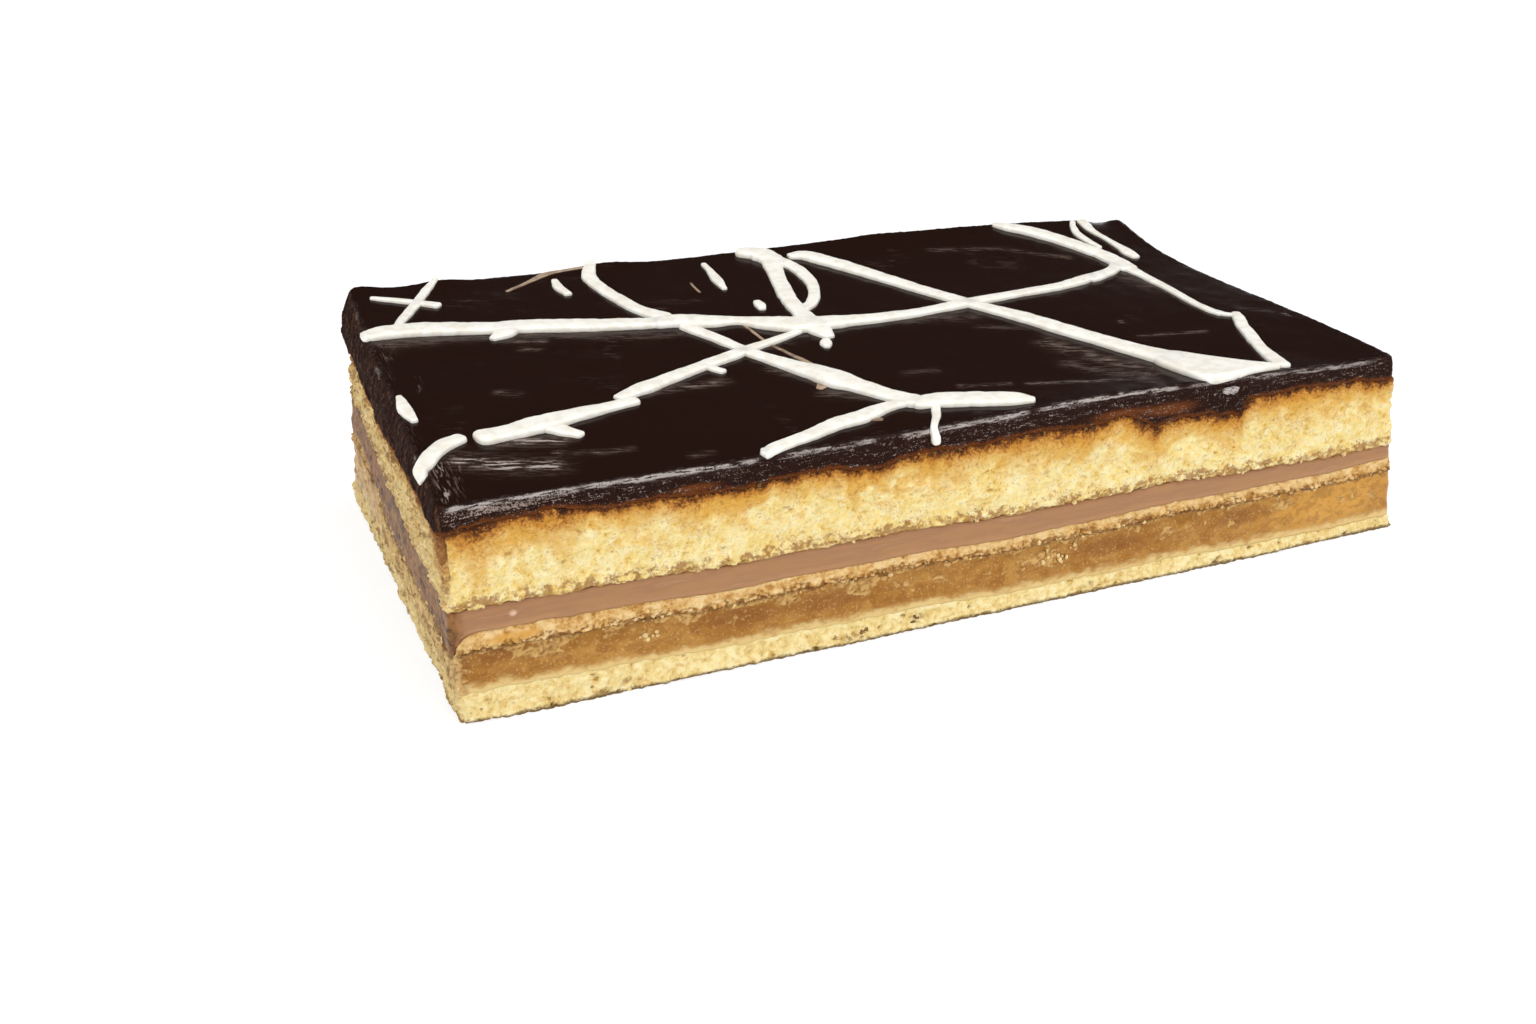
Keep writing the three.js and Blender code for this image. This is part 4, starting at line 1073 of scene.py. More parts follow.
def buildIcing():
    shape = icing
    columns = planColumns(2 * shape["countLength"], 2 * shape["countWidth"])
    count = len(columns["u"])
    left = leftShare(columns["u"])
    foot, shoulder = meetingLine("sponge", columns), icingShoulder(columns)
    t = (np.arange(shape["sideRows"] + 1) / shape["sideRows"])[:, None]
    z = mix(foot[None, :], shoulder[None, :], t)
    wide = widened(columns, z)
    push, puff = icingSideRelief(wide, z, t + 0 * z)
    side = barPoint(wide["u"], wide["v"], z, wide["outX"], wide["outY"], push)
    rootU, rootV = insetPlan(columns, bar["rootInset"])
    root = barPoint(rootU, rootV, layerTop("sponge", rootU, rootV))
    shell = np.concatenate([root[None], side, icingRim(columns, side[-1])])
    face = icingGrid()
    inner, top = icingGridFaces((len(shell) - 1) * count, count)
    points = np.concatenate([shell.reshape(-1, 3), face.reshape(-1, 3)[inner], root.mean(0)[None]])
    walls = ringQuads(len(shell), count)

    fromEdge = np.concatenate([shoulder[None, :] - z, np.zeros((shape["rimRows"], count))])
    rimFade = np.concatenate([np.ones(len(z)), shape["rimFade"]])[:, None]
    # The painted highlight along the rim, brightest at its top edge.
    shine = rimShine(columns)[None, :] * (0.75 * bell(fromEdge, 0.12) + 0.25 * bell(fromEdge, 0.9)) * rimFade
    rimShare = np.linspace(0.8, 0, shape["rimRows"])[:, None]
    sizes = ((count,), z.shape, (shape["rimRows"], count), (int(inner.sum()),), (1,))

    # A value for each point of the root, the side, the rim, the face and the middle below.
    def joined(*values):
        parts = zip((*values, 0), sizes)
        return np.concatenate([np.broadcast_to(value, size).ravel() for value, size in parts])

    attributes = {
        "warmth": joined(0, frontSpots(wide["walked"], z, shape["warmPatches"]), 0, 0),
        "fleck": joined(0, frontSpots(wide["walked"], z, shape["flecks"]), 0, 0),
        "above": joined(0, z - foot[None, :], 5, 5),
        "sideShare": joined(1, 1, rimShare, 0),
        "leftSide": joined(left, left[None, :], left[None, :], 0),
        "puffShading": joined(0, puff, 0.5, 0.5),
        "shine": joined(0, shine[:len(z)], shine[len(z):], 0),
        "sheenMark": joined(0, 0, 0, strokes(face, shape["sheenStrokes"])[inner]),
        "creaseHighlight": joined(0, 0, 0, strokes(face, shape["creaseHighlights"])[inner]),
    }
    smooth = [False] * count + [True] * (len(walls) - count + len(top)) + [False] * count
    faces = walls + top + ringFan(len(points) - 1, 0, count, False)
    return makeMesh("chocolate_face", points, faces, attributes, smooth)


def chocolateMaterial():
    material, tree, shader, place = newMaterial("chocolate icing")
    colors = screenColors(icing["colors"])
    sideShare = attribute(tree, "sideShare")
    small = grain(tree, place, 0.55, 3, 0.7)
    tiny = grain(tree, place, 0.22, 2, 0.6)
    scratch = grain(tree, stretched(tree, place, (6, 6, 0.8)), 0.4, 3, 0.6)

    # The face: painted sheen, partly a dull bloom, along brush marks and in faint patches, painted highlights
    # in the creases, silver where strongest.
    patch = grain(tree, place, 13, 2, 0.5, 0.6)
    brushed = grain(tree, stretched(tree, place, (6, 1, 1), -19), 0.7, 4, 0.7, 0.2)
    lengthwise = grain(tree, stretched(tree, place, (0.7, 7, 1)), 0.6, 3, 0.66)
    sheenMark = product(tree, attribute(tree, "sheenMark"), ranged(tree, brushed, 0.47, 0.58, 0.12))
    faintSheen = product(tree, ranged(tree, patch, 0.56, 0.74, 0, 0.25), ranged(tree, brushed, 0.52, 0.64))
    creaseHighlight = product(tree, attribute(tree, "creaseHighlight"), ranged(tree, lengthwise, 0.5, 0.62))
    sheenShare = maths(tree, "ADD", maths(tree, "ADD", sheenMark, faintSheen), creaseHighlight)
    face = blended(tree, product(tree, sheenShare, 0.75), colors["face"], colors["sheenMark"])
    face = coated(tree, face, [(sheenShare, 0.65, 1.2, 0.7, colors["paintedHighlight"])])

    # The cut side: painted shade in the clefts, warm patches, pale specks painted as glints, and on the left
    # painted highlight streaks and brown.
    glintSpecks = summed(tree, [(tiny, 0.6), (small, 0.5), (scratch, 0.5), (attribute(tree, "fleck"), 0.16)], -0.8)
    side = blended(tree, ranged(tree, attribute(tree, "puffShading"), 0.05, 0.4), colors["cleftShade"], colors["side"])
    side = coated(tree, side, [
        (attribute(tree, "warmth"), 0.1, 0.9, 0.8, colors["foot"]),
        (glintSpecks, 0.07, 0.2, 0.8, colors["speck"]),
    ])
    # Painted highlight streaks along the left side, and brown patches.
    highlightRags = grain(tree, stretched(tree, place, (1, 1, 5)), 0.8, 4, 0.68)
    drag = coated(tree, colors["side"], [
        (highlightRags, 0.54, 0.68, 0.8, colors["streak"]),
        (small, 0.58, 0.7, 0.5, colors["leftBrown"]),
    ])
    side = blended(tree, ranged(tree, attribute(tree, "leftSide"), 0.8, 1.0), side, drag)
    footShare = summed(tree, [(attribute(tree, "above"), 1.0), (small, 2.0)], -0.9)
    side = coated(tree, side, [(footShare, 1.1, 0.3, 0.8, colors["foot"])])

    tint = blended(tree, ranged(tree, sideShare, 0.1, 0.8), face, side)
    # Painted highlight: silver glints along the rim.
    glints = ranged(tree, summed(tree, [(scratch, 1.0), (tiny, 0.5)], -0.25), 0.36, 0.54, 0.15)
    sparkle = product(tree, attribute(tree, "shine"), glints)
    tint = coated(tree, tint, [(sparkle, 0.1, 0.85, 0.75, colors["paintedHighlight"])])
    sideBump = product(tree, summed(tree, [(tiny, 0.6), (small, 1.0)]), sideShare)
    bump = bumped(tree, sideBump, 0.35, 1.0, bumped(tree, sheenShare, 0.05, 0.5))
    roughness = summed(tree, [(sheenShare, 0.2), (sideShare, 0.55)], 0.17)
    setSurface(tree, shader, tint, bump, roughness, 0.07)
    return material


# White drizzle. Each strand is X, Y and width where its course turns.
drizzle = {
    "lowest": 0.32, "rise": 0.14, "sink": 0.45, "pitch": 0.5, "around": 14, "seed": 900,
    "colors": {"light": (246, 243, 234), "shade": (234, 228, 215)}, "roughness": 0.4,
    "courses": {
        "backBand": [(-91.3, 22.1, 4.2), (-88, 22.8, 5.4), (-80, 22.1, 5.6), (-70.1, 19.4, 4.8),
                     (-60.1, 17.5, 5.4), (-50.2, 14.8, 5), (-38.6, 12.5, 4.4)],
        "middleBand": [(-38.2, 12.4, 4.6), (-34.2, 12.1, 5.6), (-28.2, 10.1, 5.2), (-23.2, 9.2, 3.4),
                       (-18.1, 6.1, 5.6), (-13.1, 3.8, 6.8), (-8.1, 3.1, 6), (-2.1, 2.7, 4.6),
                       (4.8, 2.3, 3.8), (14.7, 2.8, 3.2), (24.6, 4.4, 3.5), (32.6, 5.5, 3.2),
                       (41.6, 6.7, 3.1), (49.8, 8, 3), (56.9, 10.3, 3.3), (61, 12.1, 2.4)],
        "rightBand": [(58.6, 9.9, 2.4), (61, 11.2, 3.5), (65.2, 13.2, 3.1), (68.8, 15.4, 2.9),
                      (71.3, 18, 3.2)],
        "bandDrop": [(-65.3, 18.4, 4.4), (-67.3, 16.2, 4.2), (-69.8, 14.3, 1.8)],
        "crossLong": [(-87.1, 41, 1.2), (-84.6, 39.7, 1.7), (-80.1, 37.1, 1.8), (-75.9, 33.9, 2.3)],
        "crossShort": [(-73.4, 47.2, 1.2), (-75.7, 43.6, 1.8), (-79.1, 36.9, 2), (-82.1, 31.3, 2),
                       (-85.2, 25.7, 1.7)],
        "dashLeft": [(-50.4, 41.1, 1.4), (-50.8, 37.2, 2.1), (-50.2, 32.6, 1.8)],
        "loopLeft": [(-41.1, 46.7, 2.2), (-42.2, 44.4, 2.8), (-43.3, 40.3, 3), (-42.8, 33.5, 3),
                     (-41.1, 25.6, 3.1), (-39.1, 19.2, 3.3), (-36.2, 14.9, 4)],
        "dashMiddle": [(-17.8, 41.5, 1.3), (-18, 37.3, 1.6), (-18.6, 31.5, 2.2), (-19, 26.7, 1.2)],
        "drop": [(-15.5, 17.6, 1.6), (-15.7, 15.7, 2.3), (-16, 13.9, 1.6)],
        "longDown": [(-7.5, 45.4, 5), (-4.6, 43.6, 6.2), (-3.1, 39.6, 5.6), (-4.7, 34.3, 4),
                     (-6.3, 28.1, 3.6), (-8.2, 20.3, 3.6), (-9.4, 13.5, 3.5), (-9.8, 6.7, 3.9),
                     (-9.9, -0.1, 4.8), (-9.7, -3.2, 2.6)],
        "loopRight": [(-2.4, 40, 3.4), (-0.6, 36.4, 3.4), (0.1, 31.4, 3.1), (-0.3, 25.2, 2.7),
                      (-2.3, 19.2, 2.5), (-5.2, 14.1, 2.5), (-8.2, 11.5, 2.6)],
        "tear": [(-10.8, -4.8, 1.6), (-11.6, -6.3, 2.4), (-12.1, -7.8, 1.4)],
        "broadDown": [(2, 40.5, 2.8), (4.7, 40.2, 4.4), (8.2, 35.7, 4.7), (12.3, 29.1, 4.4),
                      (16.6, 20.7, 3.8), (20, 13.9, 3.5), (23.1, 8, 3.7), (26.9, 1, 3.6),
                      (30.9, -5.5, 4.3), (35.8, -15.4, 4.7), (40.9, -25.2, 4.9), (43.5, -30.1, 5.4),
                      (46.5, -35.2, 6.8)],
        "rightRise": [(64.2, -44.1, 3.2), (65.4, -39.6, 3.1), (67, -34.4, 2.6), (69.3, -28.8, 2.7),
                      (71.3, -24.3, 2.5), (73.8, -19.8, 2.5), (75.2, -17.3, 2)],
        "rightThin": [(71.9, 15.1, 3.4), (72.3, 9.8, 2.4), (72.1, 0.6, 2.1), (71.3, -7.6, 1.8),
                      (71.2, -13.3, 2), (72.1, -16.2, 2.1)],
        "rightThick": [(55.8, 45.8, 2.4), (58.6, 43.6, 4.2), (62.2, 40.8, 4.9), (65.9, 36, 4.9),
                       (69, 30.2, 4.7), (71.2, 24.5, 4.5), (72, 19.4, 4.5), (71.9, 14.5, 4.2)],
        "rightLoop": [(76.4, 45, 1.3), (74.7, 41.5, 1.6), (73.6, 37.7, 1.9), (73.6, 33.9, 1.9),
                      (74, 28.7, 1.5)],
        "rightDash": [(79.1, 45, 2.6), (78.9, 42.4, 2.6), (78.6, 38.6, 1.8), (79.3, 33.5, 1.5),
                      (79.5, 27.8, 2.2), (79.3, 24.3, 3), (79.3, 21.6, 2.2)],
        "slantUpper": [(-14, 0.7, 1.6), (-19, -1.6, 2.1), (-24, -3.6, 2.3), (-30, -6.2, 3.3),
                       (-38, -9.7, 3.1), (-45, -13, 3.5), (-52, -16.5, 3.7), (-56.3, -18.5, 2.2)],
        "slantLower": [(-54.3, -20.6, 2.9), (-60.1, -22, 3.2), (-66.1, -23.4, 4.4), (-72.6, -25.1, 5.4),
                       (-78.1, -26.4, 4.8), (-81.7, -26.8, 5)],
        "slantBranch": [(-71.1, -25.9, 3.6), (-68.7, -28.6, 3), (-66.9, -30.6, 2.2)],
        "edgeCurl": [(-85.5, -26, 3), (-88.1, -27.5, 3.4), (-91, -30.4, 3.2), (-92.8, -33.7, 2.8),
                     (-94.4, -36.5, 1.8)],
        "edgeSpot": [(-91.2, -6.7, 1.2), (-91.4, -10.8, 2.3), (-91.1, -14.3, 2.2), (-90.7, -17, 1.3)],
        "smallDrop": [(-36.8, -10.1, 2), (-34.9, -12.9, 1.7)],
        "crossDown": [(-33.8, 9.2, 3.2), (-30.5, 2.3, 2.9), (-28.6, -2, 2.6), (-27.4, -5.4, 3),
                      (-24.9, -9.8, 3.3), (-22.2, -14.4, 4.2), (-19.1, -19.1, 5.6), (-17.1, -23.1, 6.4),
                      (-14.5, -27.3, 4.9), (-11.9, -31.6, 4.3), (-8.7, -36.3, 4.6)],
        "lowRight": [(-8.6, -37.2, 4), (-4.2, -37.5, 5.2), (0.7, -39.1, 5.2), (5.5, -40.9, 5.2),
                     (8.6, -42.2, 4.6), (10.6, -43.3, 2.2)],
        "lowLeft": [(-9.6, -36, 2.6), (-14, -36.6, 3), (-20, -38.9, 3.9), (-26, -40.4, 3.6),
                    (-33, -43.3, 3), (-38.5, -45.1, 2.8), (-41, -46.5, 1.8)],
        "frontDrip": [(-6.2, -39.6, 1.7), (-8, -43, 1.5), (-9.9, -46, 1.2), (-10.6, -47.2, 1.2),
                      (-10.8, -48.2, 1.5), (-10.8, -49.1, 1.4)],
        "leftDrip": [(-40.4, -45.4, 1.8), (-40.7, -46.4, 1.5), (-40.8, -47.1, 1.1)],
        "hook": [(71.9, -15.6, 1.8), (72.6, -16.8, 1.5), (73.8, -17.6, 1.3)],
    },
    # The pool at the front edge: outline, height, and its section as share of the outline and of the height.
    "pool": [(41.8, -33.8), (43.5, -40.6), (44.8, -47), (51.2, -46.7), (57.1, -45.7), (64, -45.5),
             (60.2, -42.9), (56.8, -39.9), (51.9, -35.3), (47.3, -30.7)],
    "poolHeight": 1.1,
    "poolSection": [(1.0, 0.3), (0.985, 0.65), (0.955, 0.85), (0.9, 0.95), (0.75, 1.0), (0.45, 1.02),
                    (0.2, 1.02)],
    "cornerCut": 0.22, "cornerRounds": 3,
    "sideStandsOut": 1.3,  # how far the cut side stands out where a drip runs down it
}

# Thin, half-clear marks that the drizzle left: X, Y and width.
faintDrizzle = {
    "lowest": 0.08, "rise": 0.05, "sink": 0.2, "pitch": 0.4, "around": 8, "seed": 1300,
    "colors": {"light": (176, 152, 128), "shade": (120, 96, 78)}, "roughness": 0.35,
    "courses": {
        "thinLeft": [(-61, 38.2, 0.7), (-56, 42, 1.0), (-51, 45.9, 1.8), (-47, 46.6, 1.1), (-42, 46.4, 1.2)],
        "faintDash": [(-24.2, 32, 0.5), (-24.5, 26.5, 0.5)],
        "scratch": [(-22.6, 7, 0.7), (-21.6, -3, 0.6), (-20, -8.5, 0.8), (-18.6, -13, 1.2),
                    (-17.6, -17, 1.4)],
        "jag": [(-20, -39.4, 1.8), (-17.2, -40.6, 1.1)],
        "bandTip": [(-67, 17.4, 2.4), (-64.3, 16.4, 1.1)],
        "crossTip": [(-19.4, -22.9, 3), (-21.4, -25, 1.4)],
    },
}


# A smooth course through the turning points, at an even pitch.
def smoothCourse(points, pitch):
    points = np.array(points, float)
    knots = np.concatenate([[2 * points[0] - points[1]], points, [2 * points[-1] - points[-2]]])
    fine = []
    for i in range(1, len(knots) - 2):
        p0, p1, p2, p3 = knots[i - 1:i + 3]
        t1 = np.linalg.norm(p1 - p0) ** 0.5
        t2 = t1 + np.linalg.norm(p2 - p1) ** 0.5
        t3 = t2 + np.linalg.norm(p3 - p2) ** 0.5
        for t in np.linspace(t1, t2, 24, endpoint=False):
            a1 = (t1 - t) / t1 * p0 + t / t1 * p1
            a2 = (t2 - t) / (t2 - t1) * p1 + (t - t1) / (t2 - t1) * p2
            a3 = (t3 - t) / (t3 - t2) * p2 + (t - t2) / (t3 - t2) * p3
            b1 = (t2 - t) / t2 * a1 + t / t2 * a2
            b2 = (t3 - t) / (t3 - t1) * a2 + (t - t1) / (t3 - t1) * a3
            fine.append((t2 - t) / (t2 - t1) * b1 + (t - t1) / (t2 - t1) * b2)
    fine.append(points[-1])
    fine = np.array(fine)
    along = np.concatenate([[0], np.cumsum(np.linalg.norm(np.diff(fine[:, :2], axis=0), axis=1))])
    steps = max(4, round(along[-1] / pitch))
    at = np.linspace(0, along[-1], steps + 1)
    return np.stack([np.interp(at, along, fine[:, axis]) for axis in range(3)], -1)


# Where a point of the drizzle lies: on the icing's face, or past an edge and down the side.
def onIcing(x, y):
    v = 0 * x + 0.5
    topX = cornerAxis(bar["topCorners"], 0)
    topY = cornerAxis(bar["topCorners"], 1)
    for _ in range(5):
        low, high = mix(topX[0], topX[3], v), mix(topX[1], topX[2], v)
        u = (x - low) / (high - low)
        front, back = mix(topY[0], topY[1], u), mix(topY[3], topY[2], u)
        v = (y - front) / (back - front)
    pastFront = np.maximum(0, -v) * bar["width"]
    pastLeft = np.maximum(0, -u) * bar["length"]
    heldU, heldV = np.maximum(u, 0), np.maximum(v, 0)
    point = barPoint(heldU, heldV, icingTop(heldU, heldV))
    point[..., 2] -= pastFront + pastLeft
    point[..., 1] -= drizzle["sideStandsOut"] * smoothStep(0, 1.2, pastFront)
    normalX = -smoothStep(-0.8, 1, np.where(pastLeft > 0, pastLeft, -u * bar["length"]))
    normalY = -smoothStep(-0.8, 1, np.where(pastFront > 0, pastFront, -v * bar["width"]))
    normalZ = np.sqrt(np.maximum(0, 1 - np.minimum(1, normalX ** 2 + normalY ** 2)))
    normal = np.stack([normalX, normalY, normalZ], -1)
    return point, normal / np.linalg.norm(normal, axis=-1, keepdims=True)


# The section of a strand of width 1: a flattened arch with its feet sunk in the icing.
def strandSection(shape):
    section = [(0.49, -shape["sink"])]
    for turn in np.linspace(0, math.pi, shape["around"] - 1):
        flat = math.copysign(abs(math.cos(turn)) ** 0.6, math.cos(turn))
        section.append((0.5 * flat, max(0.0, math.sin(turn)) ** 0.55))
    return section + [(-0.49, -shape["sink"])]


def strandMesh(course, seed, shape):
    path = smoothCourse(course, shape["pitch"])
    heading = np.gradient(path[:, :2], axis=0)
    heading /= np.linalg.norm(heading, axis=1, keepdims=True)
    steps = np.arange(len(path)) * shape["pitch"]
    wobble = 0.06 * slopeNoise(steps / 2.6, 0 * steps + 0.4, seed)
    wobble = wobble + 0.04 * slopeNoise(steps / 1.1, 0 * steps + 0.3, seed + 1)
    width = path[:, 2] * (1 + wobble)
    side = np.stack([-heading[:, 1], heading[:, 0]], -1)
    middle = path[:, :2] + side * (0.12 * slopeNoise(steps / 3.1, 0 * steps + 0.6, seed + 2))[:, None]
    # Blunt tips run a little past both ends: angle on the tip's round, share of the width.
    tips = ((80, 0.3), (60, 0.62), (38, 0.84), (16, 0.96))

    def tipRings(end, way, turns):
        reaches = [(math.sin(math.radians(angle)) * 0.3, share) for angle, share in turns]
        return [(middle[end] + way * heading[end] * reach * width[end], width[end] * share)
                for reach, share in reaches]

    rings = tipRings(0, -1, tips) + list(zip(middle, width)) + tipRings(-1, 1, tips[::-1])
    at = np.array([ring[0] for ring in rings])
    wide = np.array([ring[1] for ring in rings])
    point, normal = onIcing(at[:, 0], at[:, 1])
    forward = np.gradient(point, axis=0)
    forward -= normal * (forward * normal).sum(-1, keepdims=True)
    forward /= np.linalg.norm(forward, axis=-1, keepdims=True)
    across = np.cross(normal, forward)
    full = np.concatenate([[width[0]] * len(tips), width, [width[-1]] * len(tips)])
    rise = (shape["lowest"] + shape["rise"] * full) * np.clip(wide / full, 0.05, 1) ** 0.5
    section = strandSection(shape)
    points = []
    for x, lift in section:
        height = np.where(lift < 0, lift, lift * rise)
        points.append(point + across * (x * wide)[:, None] + normal * height[:, None])
    points = np.stack(points, 1).reshape(-1, 3)
    return points, ringQuads(len(at), len(section)) + endFaces(len(at), len(section))


def poolMesh():
    outline = np.array(drizzle["pool"], float)
    cut = drizzle["cornerCut"]
    for _ in range(drizzle["cornerRounds"]):
        following = np.roll(outline, -1, axis=0)
        outline = np.stack([(1 - cut) * outline + cut * following, cut * outline + (1 - cut) * following], 1)
        outline = outline.reshape(-1, 2)
    middle = outline.mean(0)
    levels = [(share, lift * drizzle["poolHeight"]) for share, lift in drizzle["poolSection"]]
    rings = []
    for share, lift in [(1.0, -drizzle["sink"])] + levels:
        ring = middle + (outline - middle) * share
        point, _ = onIcing(ring[:, 0], ring[:, 1])
        point[:, 2] += lift
        rings.append(point)
    return np.concatenate(rings), ringQuads(len(rings), len(outline)) + endFaces(len(rings), len(outline))


def joinMeshes(name, pieces):
    points, faces = [], []
    start = 0
    for stretch, quads in pieces:
        points.append(stretch)
        faces += [[start + i for i in face] for face in quads]
        start += len(stretch)
    return makeMesh(name, np.concatenate(points), faces, {})


def strandMeshes(shape):
    courses = enumerate(shape["courses"].values())
    return [strandMesh(course, shape["seed"] + 7 * i, shape) for i, course in courses]


def buildDrizzle():
    return joinMeshes("white_drizzle_strands", strandMeshes(drizzle) + [poolMesh()])


def buildFaintDrizzle():
    return joinMeshes("faint_drizzle_marks", strandMeshes(faintDrizzle))


def drizzleMaterial(name, shape):
    material, tree, shader, place = newMaterial(name)
    colors = screenColors(shape["colors"])
    soft = grain(tree, place, 2.2, 3, 0.55)
    tint = blended(tree, ranged(tree, soft, 0.38, 0.66), colors["light"], colors["shade"])
    bump = bumped(tree, soft, 0.12, 0.4)
    setSurface(tree, shader, tint, bump, shape["roughness"], 0.3, 0.2, (1.0, 0.85, 0.65), 0.8)
    return material


# Loose crumbs on the cut sides, one piece for each colour.
crumbs = {
    "seed": 17,
    "paleFoot": {"count": 120, "size": (0.25, 0.6), "height": (0.2, 1.6)},
    "ledgeLine": {"count": 220, "size": (0.2, 0.5), "height": (0.1, 1.3)},
    "lipLine": {"count": 150, "size": (0.2, 0.5), "height": (-0.5, 0.6)},
    "topLine": {"count": 110, "size": (0.18, 0.45), "height": (-0.1, 0.9)},
    "fleck": (53.6, 35.3, 0.95, 0.8),  # one pale fleck on the icing: place, height, size, length
    # Groups: place along the front, height, spread, how many, largest size.
    "groups": [(-62.7, 9.8, 0.9, 8, 0.5), (14.5, 9.2, 2.2, 14, 0.5),
               (-26.1, 1.4, 1.3, 12, 0.7), (-13.2, 2.0, 1.5, 12, 0.7)],
    "brownBelow": 3, "brownShare": 0.6,  # in the groups near the foot, this many are brown
    "leftFootDrawsIn": 0.9,
    "colors": {
        "pale": {"light": (240, 214, 156), "shade": (212, 172, 104)},
        "brown": {"light": (150, 108, 54), "shade": (84, 58, 28)},
        "fleck": {"light": (188, 180, 178), "shade": (118, 106, 102)},
    },
}


# A crumb starts as a solid with twenty faces.
def crumbShape():
    golden = (1 + 5 ** 0.5) / 2
    points = []
    for a in (-1, 1):
        for b in (-golden, golden):
            points += [(0, a, b), (a, b, 0), (b, 0, a)]
    points = np.array(points, float)
    points /= np.linalg.norm(points[0])
    edge = np.sort(np.linalg.norm(points[0] - points, axis=1))[1] * 1.05
    near = np.linalg.norm(points[:, None] - points[None], axis=-1) < edge
    faces = []
    for i in range(12):
        for j in range(i + 1, 12):
            for k in range(j + 1, 12):
                if near[i, j] and near[j, k] and near[i, k]:
                    normal = np.cross(points[j] - points[i], points[k] - points[i])
                    faces.append([i, j, k] if normal @ points[i] > 0 else [i, k, j])
    return points, faces


# Place in the plan, and the way out, for a distance walked round the bar.
def onWalk(side):
    length, width = bar["length"], bar["width"]
    if side < length:
        return side / length, 0.0, (0, -1)
    if side < length + width:
        return 1.0, (side - length) / width, (1, 0)
    if side < 2 * length + width:
        return 1 - (side - length - width) / length, 1.0, (0, 1)
    return 0.0, 1 - (side - 2 * length - width) / width, (-1, 0)


def crumbAt(chance, walked, z, size, shape):
    side = walked % perimeter
    u, v, out = onWalk(side)
    push = float(waver({"walked": np.array([side])}, np.array([z]))[0]) + 0.25 * size
    if out[0] < 0:
        push -= crumbs["leftFootDrawsIn"] * float(smoothStep(*baseSponge["toeBand"], z))
    middle = barPoint(np.array([u]), np.array([v]), np.array([z]), out[0], out[1], push)[0]
    points, faces = shape
    stretch = np.array([chance.uniform(0.7, 1.3) for _ in range(3)])
    rough = np.array([chance.uniform(0.75, 1.2) for _ in range(len(points))])
    turn = chance.uniform(0, 2 * math.pi)
    cos, sin = math.cos(turn), math.sin(turn)
    shaped = points * rough[:, None] * stretch * size
    shaped = shaped @ np.array([[cos, -sin, 0], [sin, cos, 0], [0, 0, 1]])
    placed = shaped + middle
    placed[:, 2] = np.maximum(placed[:, 2], 0.02)  # none reaches through the floor
    return placed, faces


def buildCrumbs():
    chance = random.Random(crumbs["seed"])
    shape = crumbShape()
    pale, brown = [], []
    columns = planColumns(*bar["columns"])
    lines = {name: meetingLine(name, columns) for name in ("caramel", "mousse", "sponge")}

    def lineHeight(name, walked):
        return float(np.interp(walked % perimeter, columns["walked"], lines[name]))

    def scatter(kind, target, heightAt):
        for _ in range(crumbs[kind]["count"]):
            walked = chance.uniform(0, perimeter)
            size = mix(*crumbs[kind]["size"], chance.random() ** 2)
            height = heightAt(walked, chance.uniform(*crumbs[kind]["height"]))
            target.append(crumbAt(chance, walked, height, size, shape))

    scatter("paleFoot", pale, lambda walked, height: height)
    scatter("ledgeLine", pale, lambda walked, height: lineHeight("mousse", walked) + height)
    scatter("lipLine", pale, lambda walked, height: lineHeight("caramel", walked) + height)
    scatter("topLine", brown, lambda walked, height: lineHeight("sponge", walked) - height)
    for at, height, spread, count, largest in crumbs["groups"]:
        for _ in range(count):
            walked = alongFront(at) + chance.gauss(0, spread)
            size = chance.uniform(0.4, 1) * largest
            place = max(size * 0.5, height + chance.gauss(0, 0.45 * spread))
            isBrown = height < crumbs["brownBelow"] and chance.random() < crumbs["brownShare"]
            (brown if isBrown else pale).append(crumbAt(chance, walked, place, size, shape))
    at, height, size, length = crumbs["fleck"]
    flecks = [crumbAt(chance, alongFront(at + shift), height, size, shape) for shift in (-length, 0, length)]
    named = (("pale_crumbs", pale), ("brown_crumbs", brown), ("pale_fleck", flecks))
    return [joinMeshes(name, pieces) for name, pieces in named]


def looseCrumbMaterial(name, kind):
    material, tree, shader, place = newMaterial(name)
    colors = screenColors(crumbs["colors"][kind])
    small = grain(tree, place, 0.45, 3, 0.65)
    tint = blended(tree, ranged(tree, small, 0.4, 0.64), colors["light"], colors["shade"])
    setSurface(tree, shader, tint, bumped(tree, small, 0.25, 0.8), 0.75, 0.25, 0.1)
    return material


def wear(thing, material, slot, *nodes):
    thing.data.materials.append(material)
    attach(thing, "root")
    if nodes:
        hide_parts(*nodes)


layers = buildLayers()
print("cake: layers cut")
face = buildIcing()
print("cake: icing poured")
strands = buildDrizzle()
faintMarks = buildFaintDrizzle()
print("cake: drizzle piped")
paleCrumbs, brownCrumbs, paleFleck = buildCrumbs()
print("cake: crumbs scattered")

wear(layers["base"], baseMaterial(), "base_crumb", "base_sponge")
wear(layers["caramel"], caramelMaterial(), "soaked_sponge", "caramel_layer")
wear(layers["middle"], middleMaterial(), "thin_sponge", "middle_sponge")
wear(layers["mousse"], mousseMaterial(), "mousse", "mocha_mousse")
wear(layers["sponge"], spongeMaterial(), "sponge", "upper_sponge")
wear(face, chocolateMaterial(), "chocolate", "chocolate_icing")
wear(strands, drizzleMaterial("white drizzle", drizzle), "white_drizzle", "chocolate_icing")
wear(faintMarks, drizzleMaterial("faint drizzle", faintDrizzle), "white_drizzle")
wear(paleCrumbs, looseCrumbMaterial("loose crumbs", "pale"), "sponge")
wear(brownCrumbs, looseCrumbMaterial("brown crumbs", "brown"), "sponge")
wear(paleFleck, looseCrumbMaterial("pale fleck", "fleck"), "white_drizzle")
print("cake: materials on")

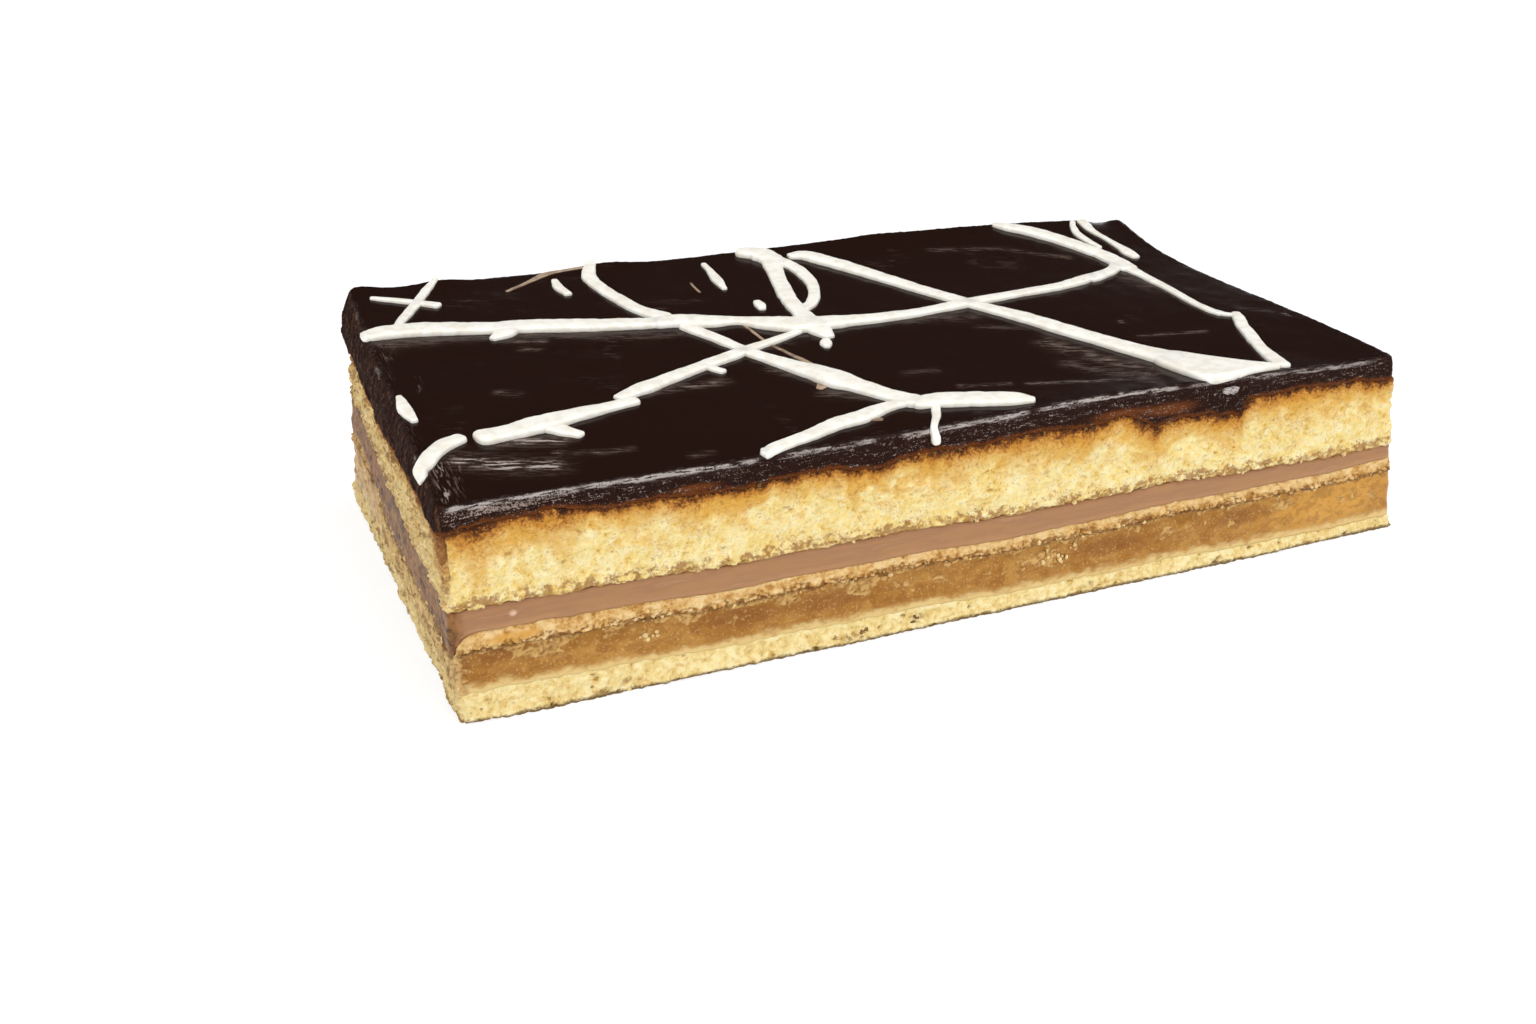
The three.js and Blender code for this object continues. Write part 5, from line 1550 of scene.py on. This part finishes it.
# A plain white floor that glows softly, a wide overhead light, a front light and a low side light.
studio = {
    "floor": (0.25, 0.25, 0.25, 1), "flat": 4.0, "reach": 6.0, "rise": 1.2,
    "glow": (0.82, 1.0), "glowReach": (0.1, 0.55), "world": 0.02,  # the glow near the cake and far from it
    "target": (0, 0, 0.02),
    # Name, place in metres, width, power.
    "lights": [("overhead", (0.15, -0.05, 0.95), 0.9, 8.6), ("front", (0.15, -1.0, 0.6), 0.6, 5.4),
               ("side", (-0.9, -0.1, 0.5), 0.6, 3.6)],
}


# The floor is flat, and rises far away so that no low view looks past its edge.
def makeFloor():
    mesh = bpy.data.meshes.new("studio_floor")
    levels = ((studio["flat"], 0), (studio["reach"], studio["rise"]))
    square = ((-1, -1), (1, -1), (1, 1), (-1, 1))
    corners = [(x * reach, y * reach, z) for reach, z in levels for x, y in square]
    slopes = [(i, 4 + i, 4 + (i + 1) % 4, (i + 1) % 4) for i in range(4)]
    mesh.from_pydata(corners, [], [(0, 1, 2, 3)] + slopes)
    floor = bpy.data.objects.new("studio_floor", mesh)
    bpy.context.scene.collection.objects.link(floor)
    material, tree, shader, place = newMaterial("studio white")
    setSurface(tree, shader, studio["floor"], None, 0.9, 0.1)
    distance = tree.nodes.new("ShaderNodeVectorMath")
    distance.operation = "LENGTH"
    tree.links.new(place, distance.inputs[0])
    glow = ranged(tree, distance.outputs["Value"], *studio["glowReach"], *studio["glow"])
    shader.inputs["Emission Color"].default_value = (1, 1, 1, 1)
    tree.links.new(glow, shader.inputs["Emission Strength"])
    mesh.materials.append(material)


def makeLight(name, place, width, power):
    light = bpy.data.lights.new(name, "AREA")
    light.shape = "SQUARE"
    light.size = width
    light.energy = power
    lamp = bpy.data.objects.new(name, light)
    lamp.location = place
    lamp.rotation_euler = (Vector(studio["target"]) - lamp.location).to_track_quat("-Z", "Y").to_euler()
    bpy.context.scene.collection.objects.link(lamp)


def setWorld():
    world = bpy.data.worlds.new("studio air")
    world.use_nodes = True
    background = world.node_tree.nodes["Background"]
    background.inputs[0].default_value = (1, 1, 1, 1)
    background.inputs[1].default_value = studio["world"]
    bpy.context.scene.world = world
    bpy.context.scene.view_settings.view_transform = "Standard"


camera = {"place": (-0.12897, -0.25505, 0.13627), "elevation": 25.6055, "azimuth": -23.0046, "lens": 36.149}


def setCamera():
    data = bpy.data.cameras.new("camera")
    data.lens = camera["lens"]
    data.sensor_width = 36
    data.sensor_fit = "HORIZONTAL"
    data.clip_start = 0.01
    thing = bpy.data.objects.new("camera", data)
    thing.location = camera["place"]
    thing.rotation_euler = (math.radians(90 - camera["elevation"]), 0, math.radians(camera["azimuth"]))
    bpy.context.scene.collection.objects.link(thing)
    bpy.context.scene.camera = thing


makeFloor()
for light in studio["lights"]:
    makeLight(*light)
setWorld()
setCamera()
print("cake: studio lit")
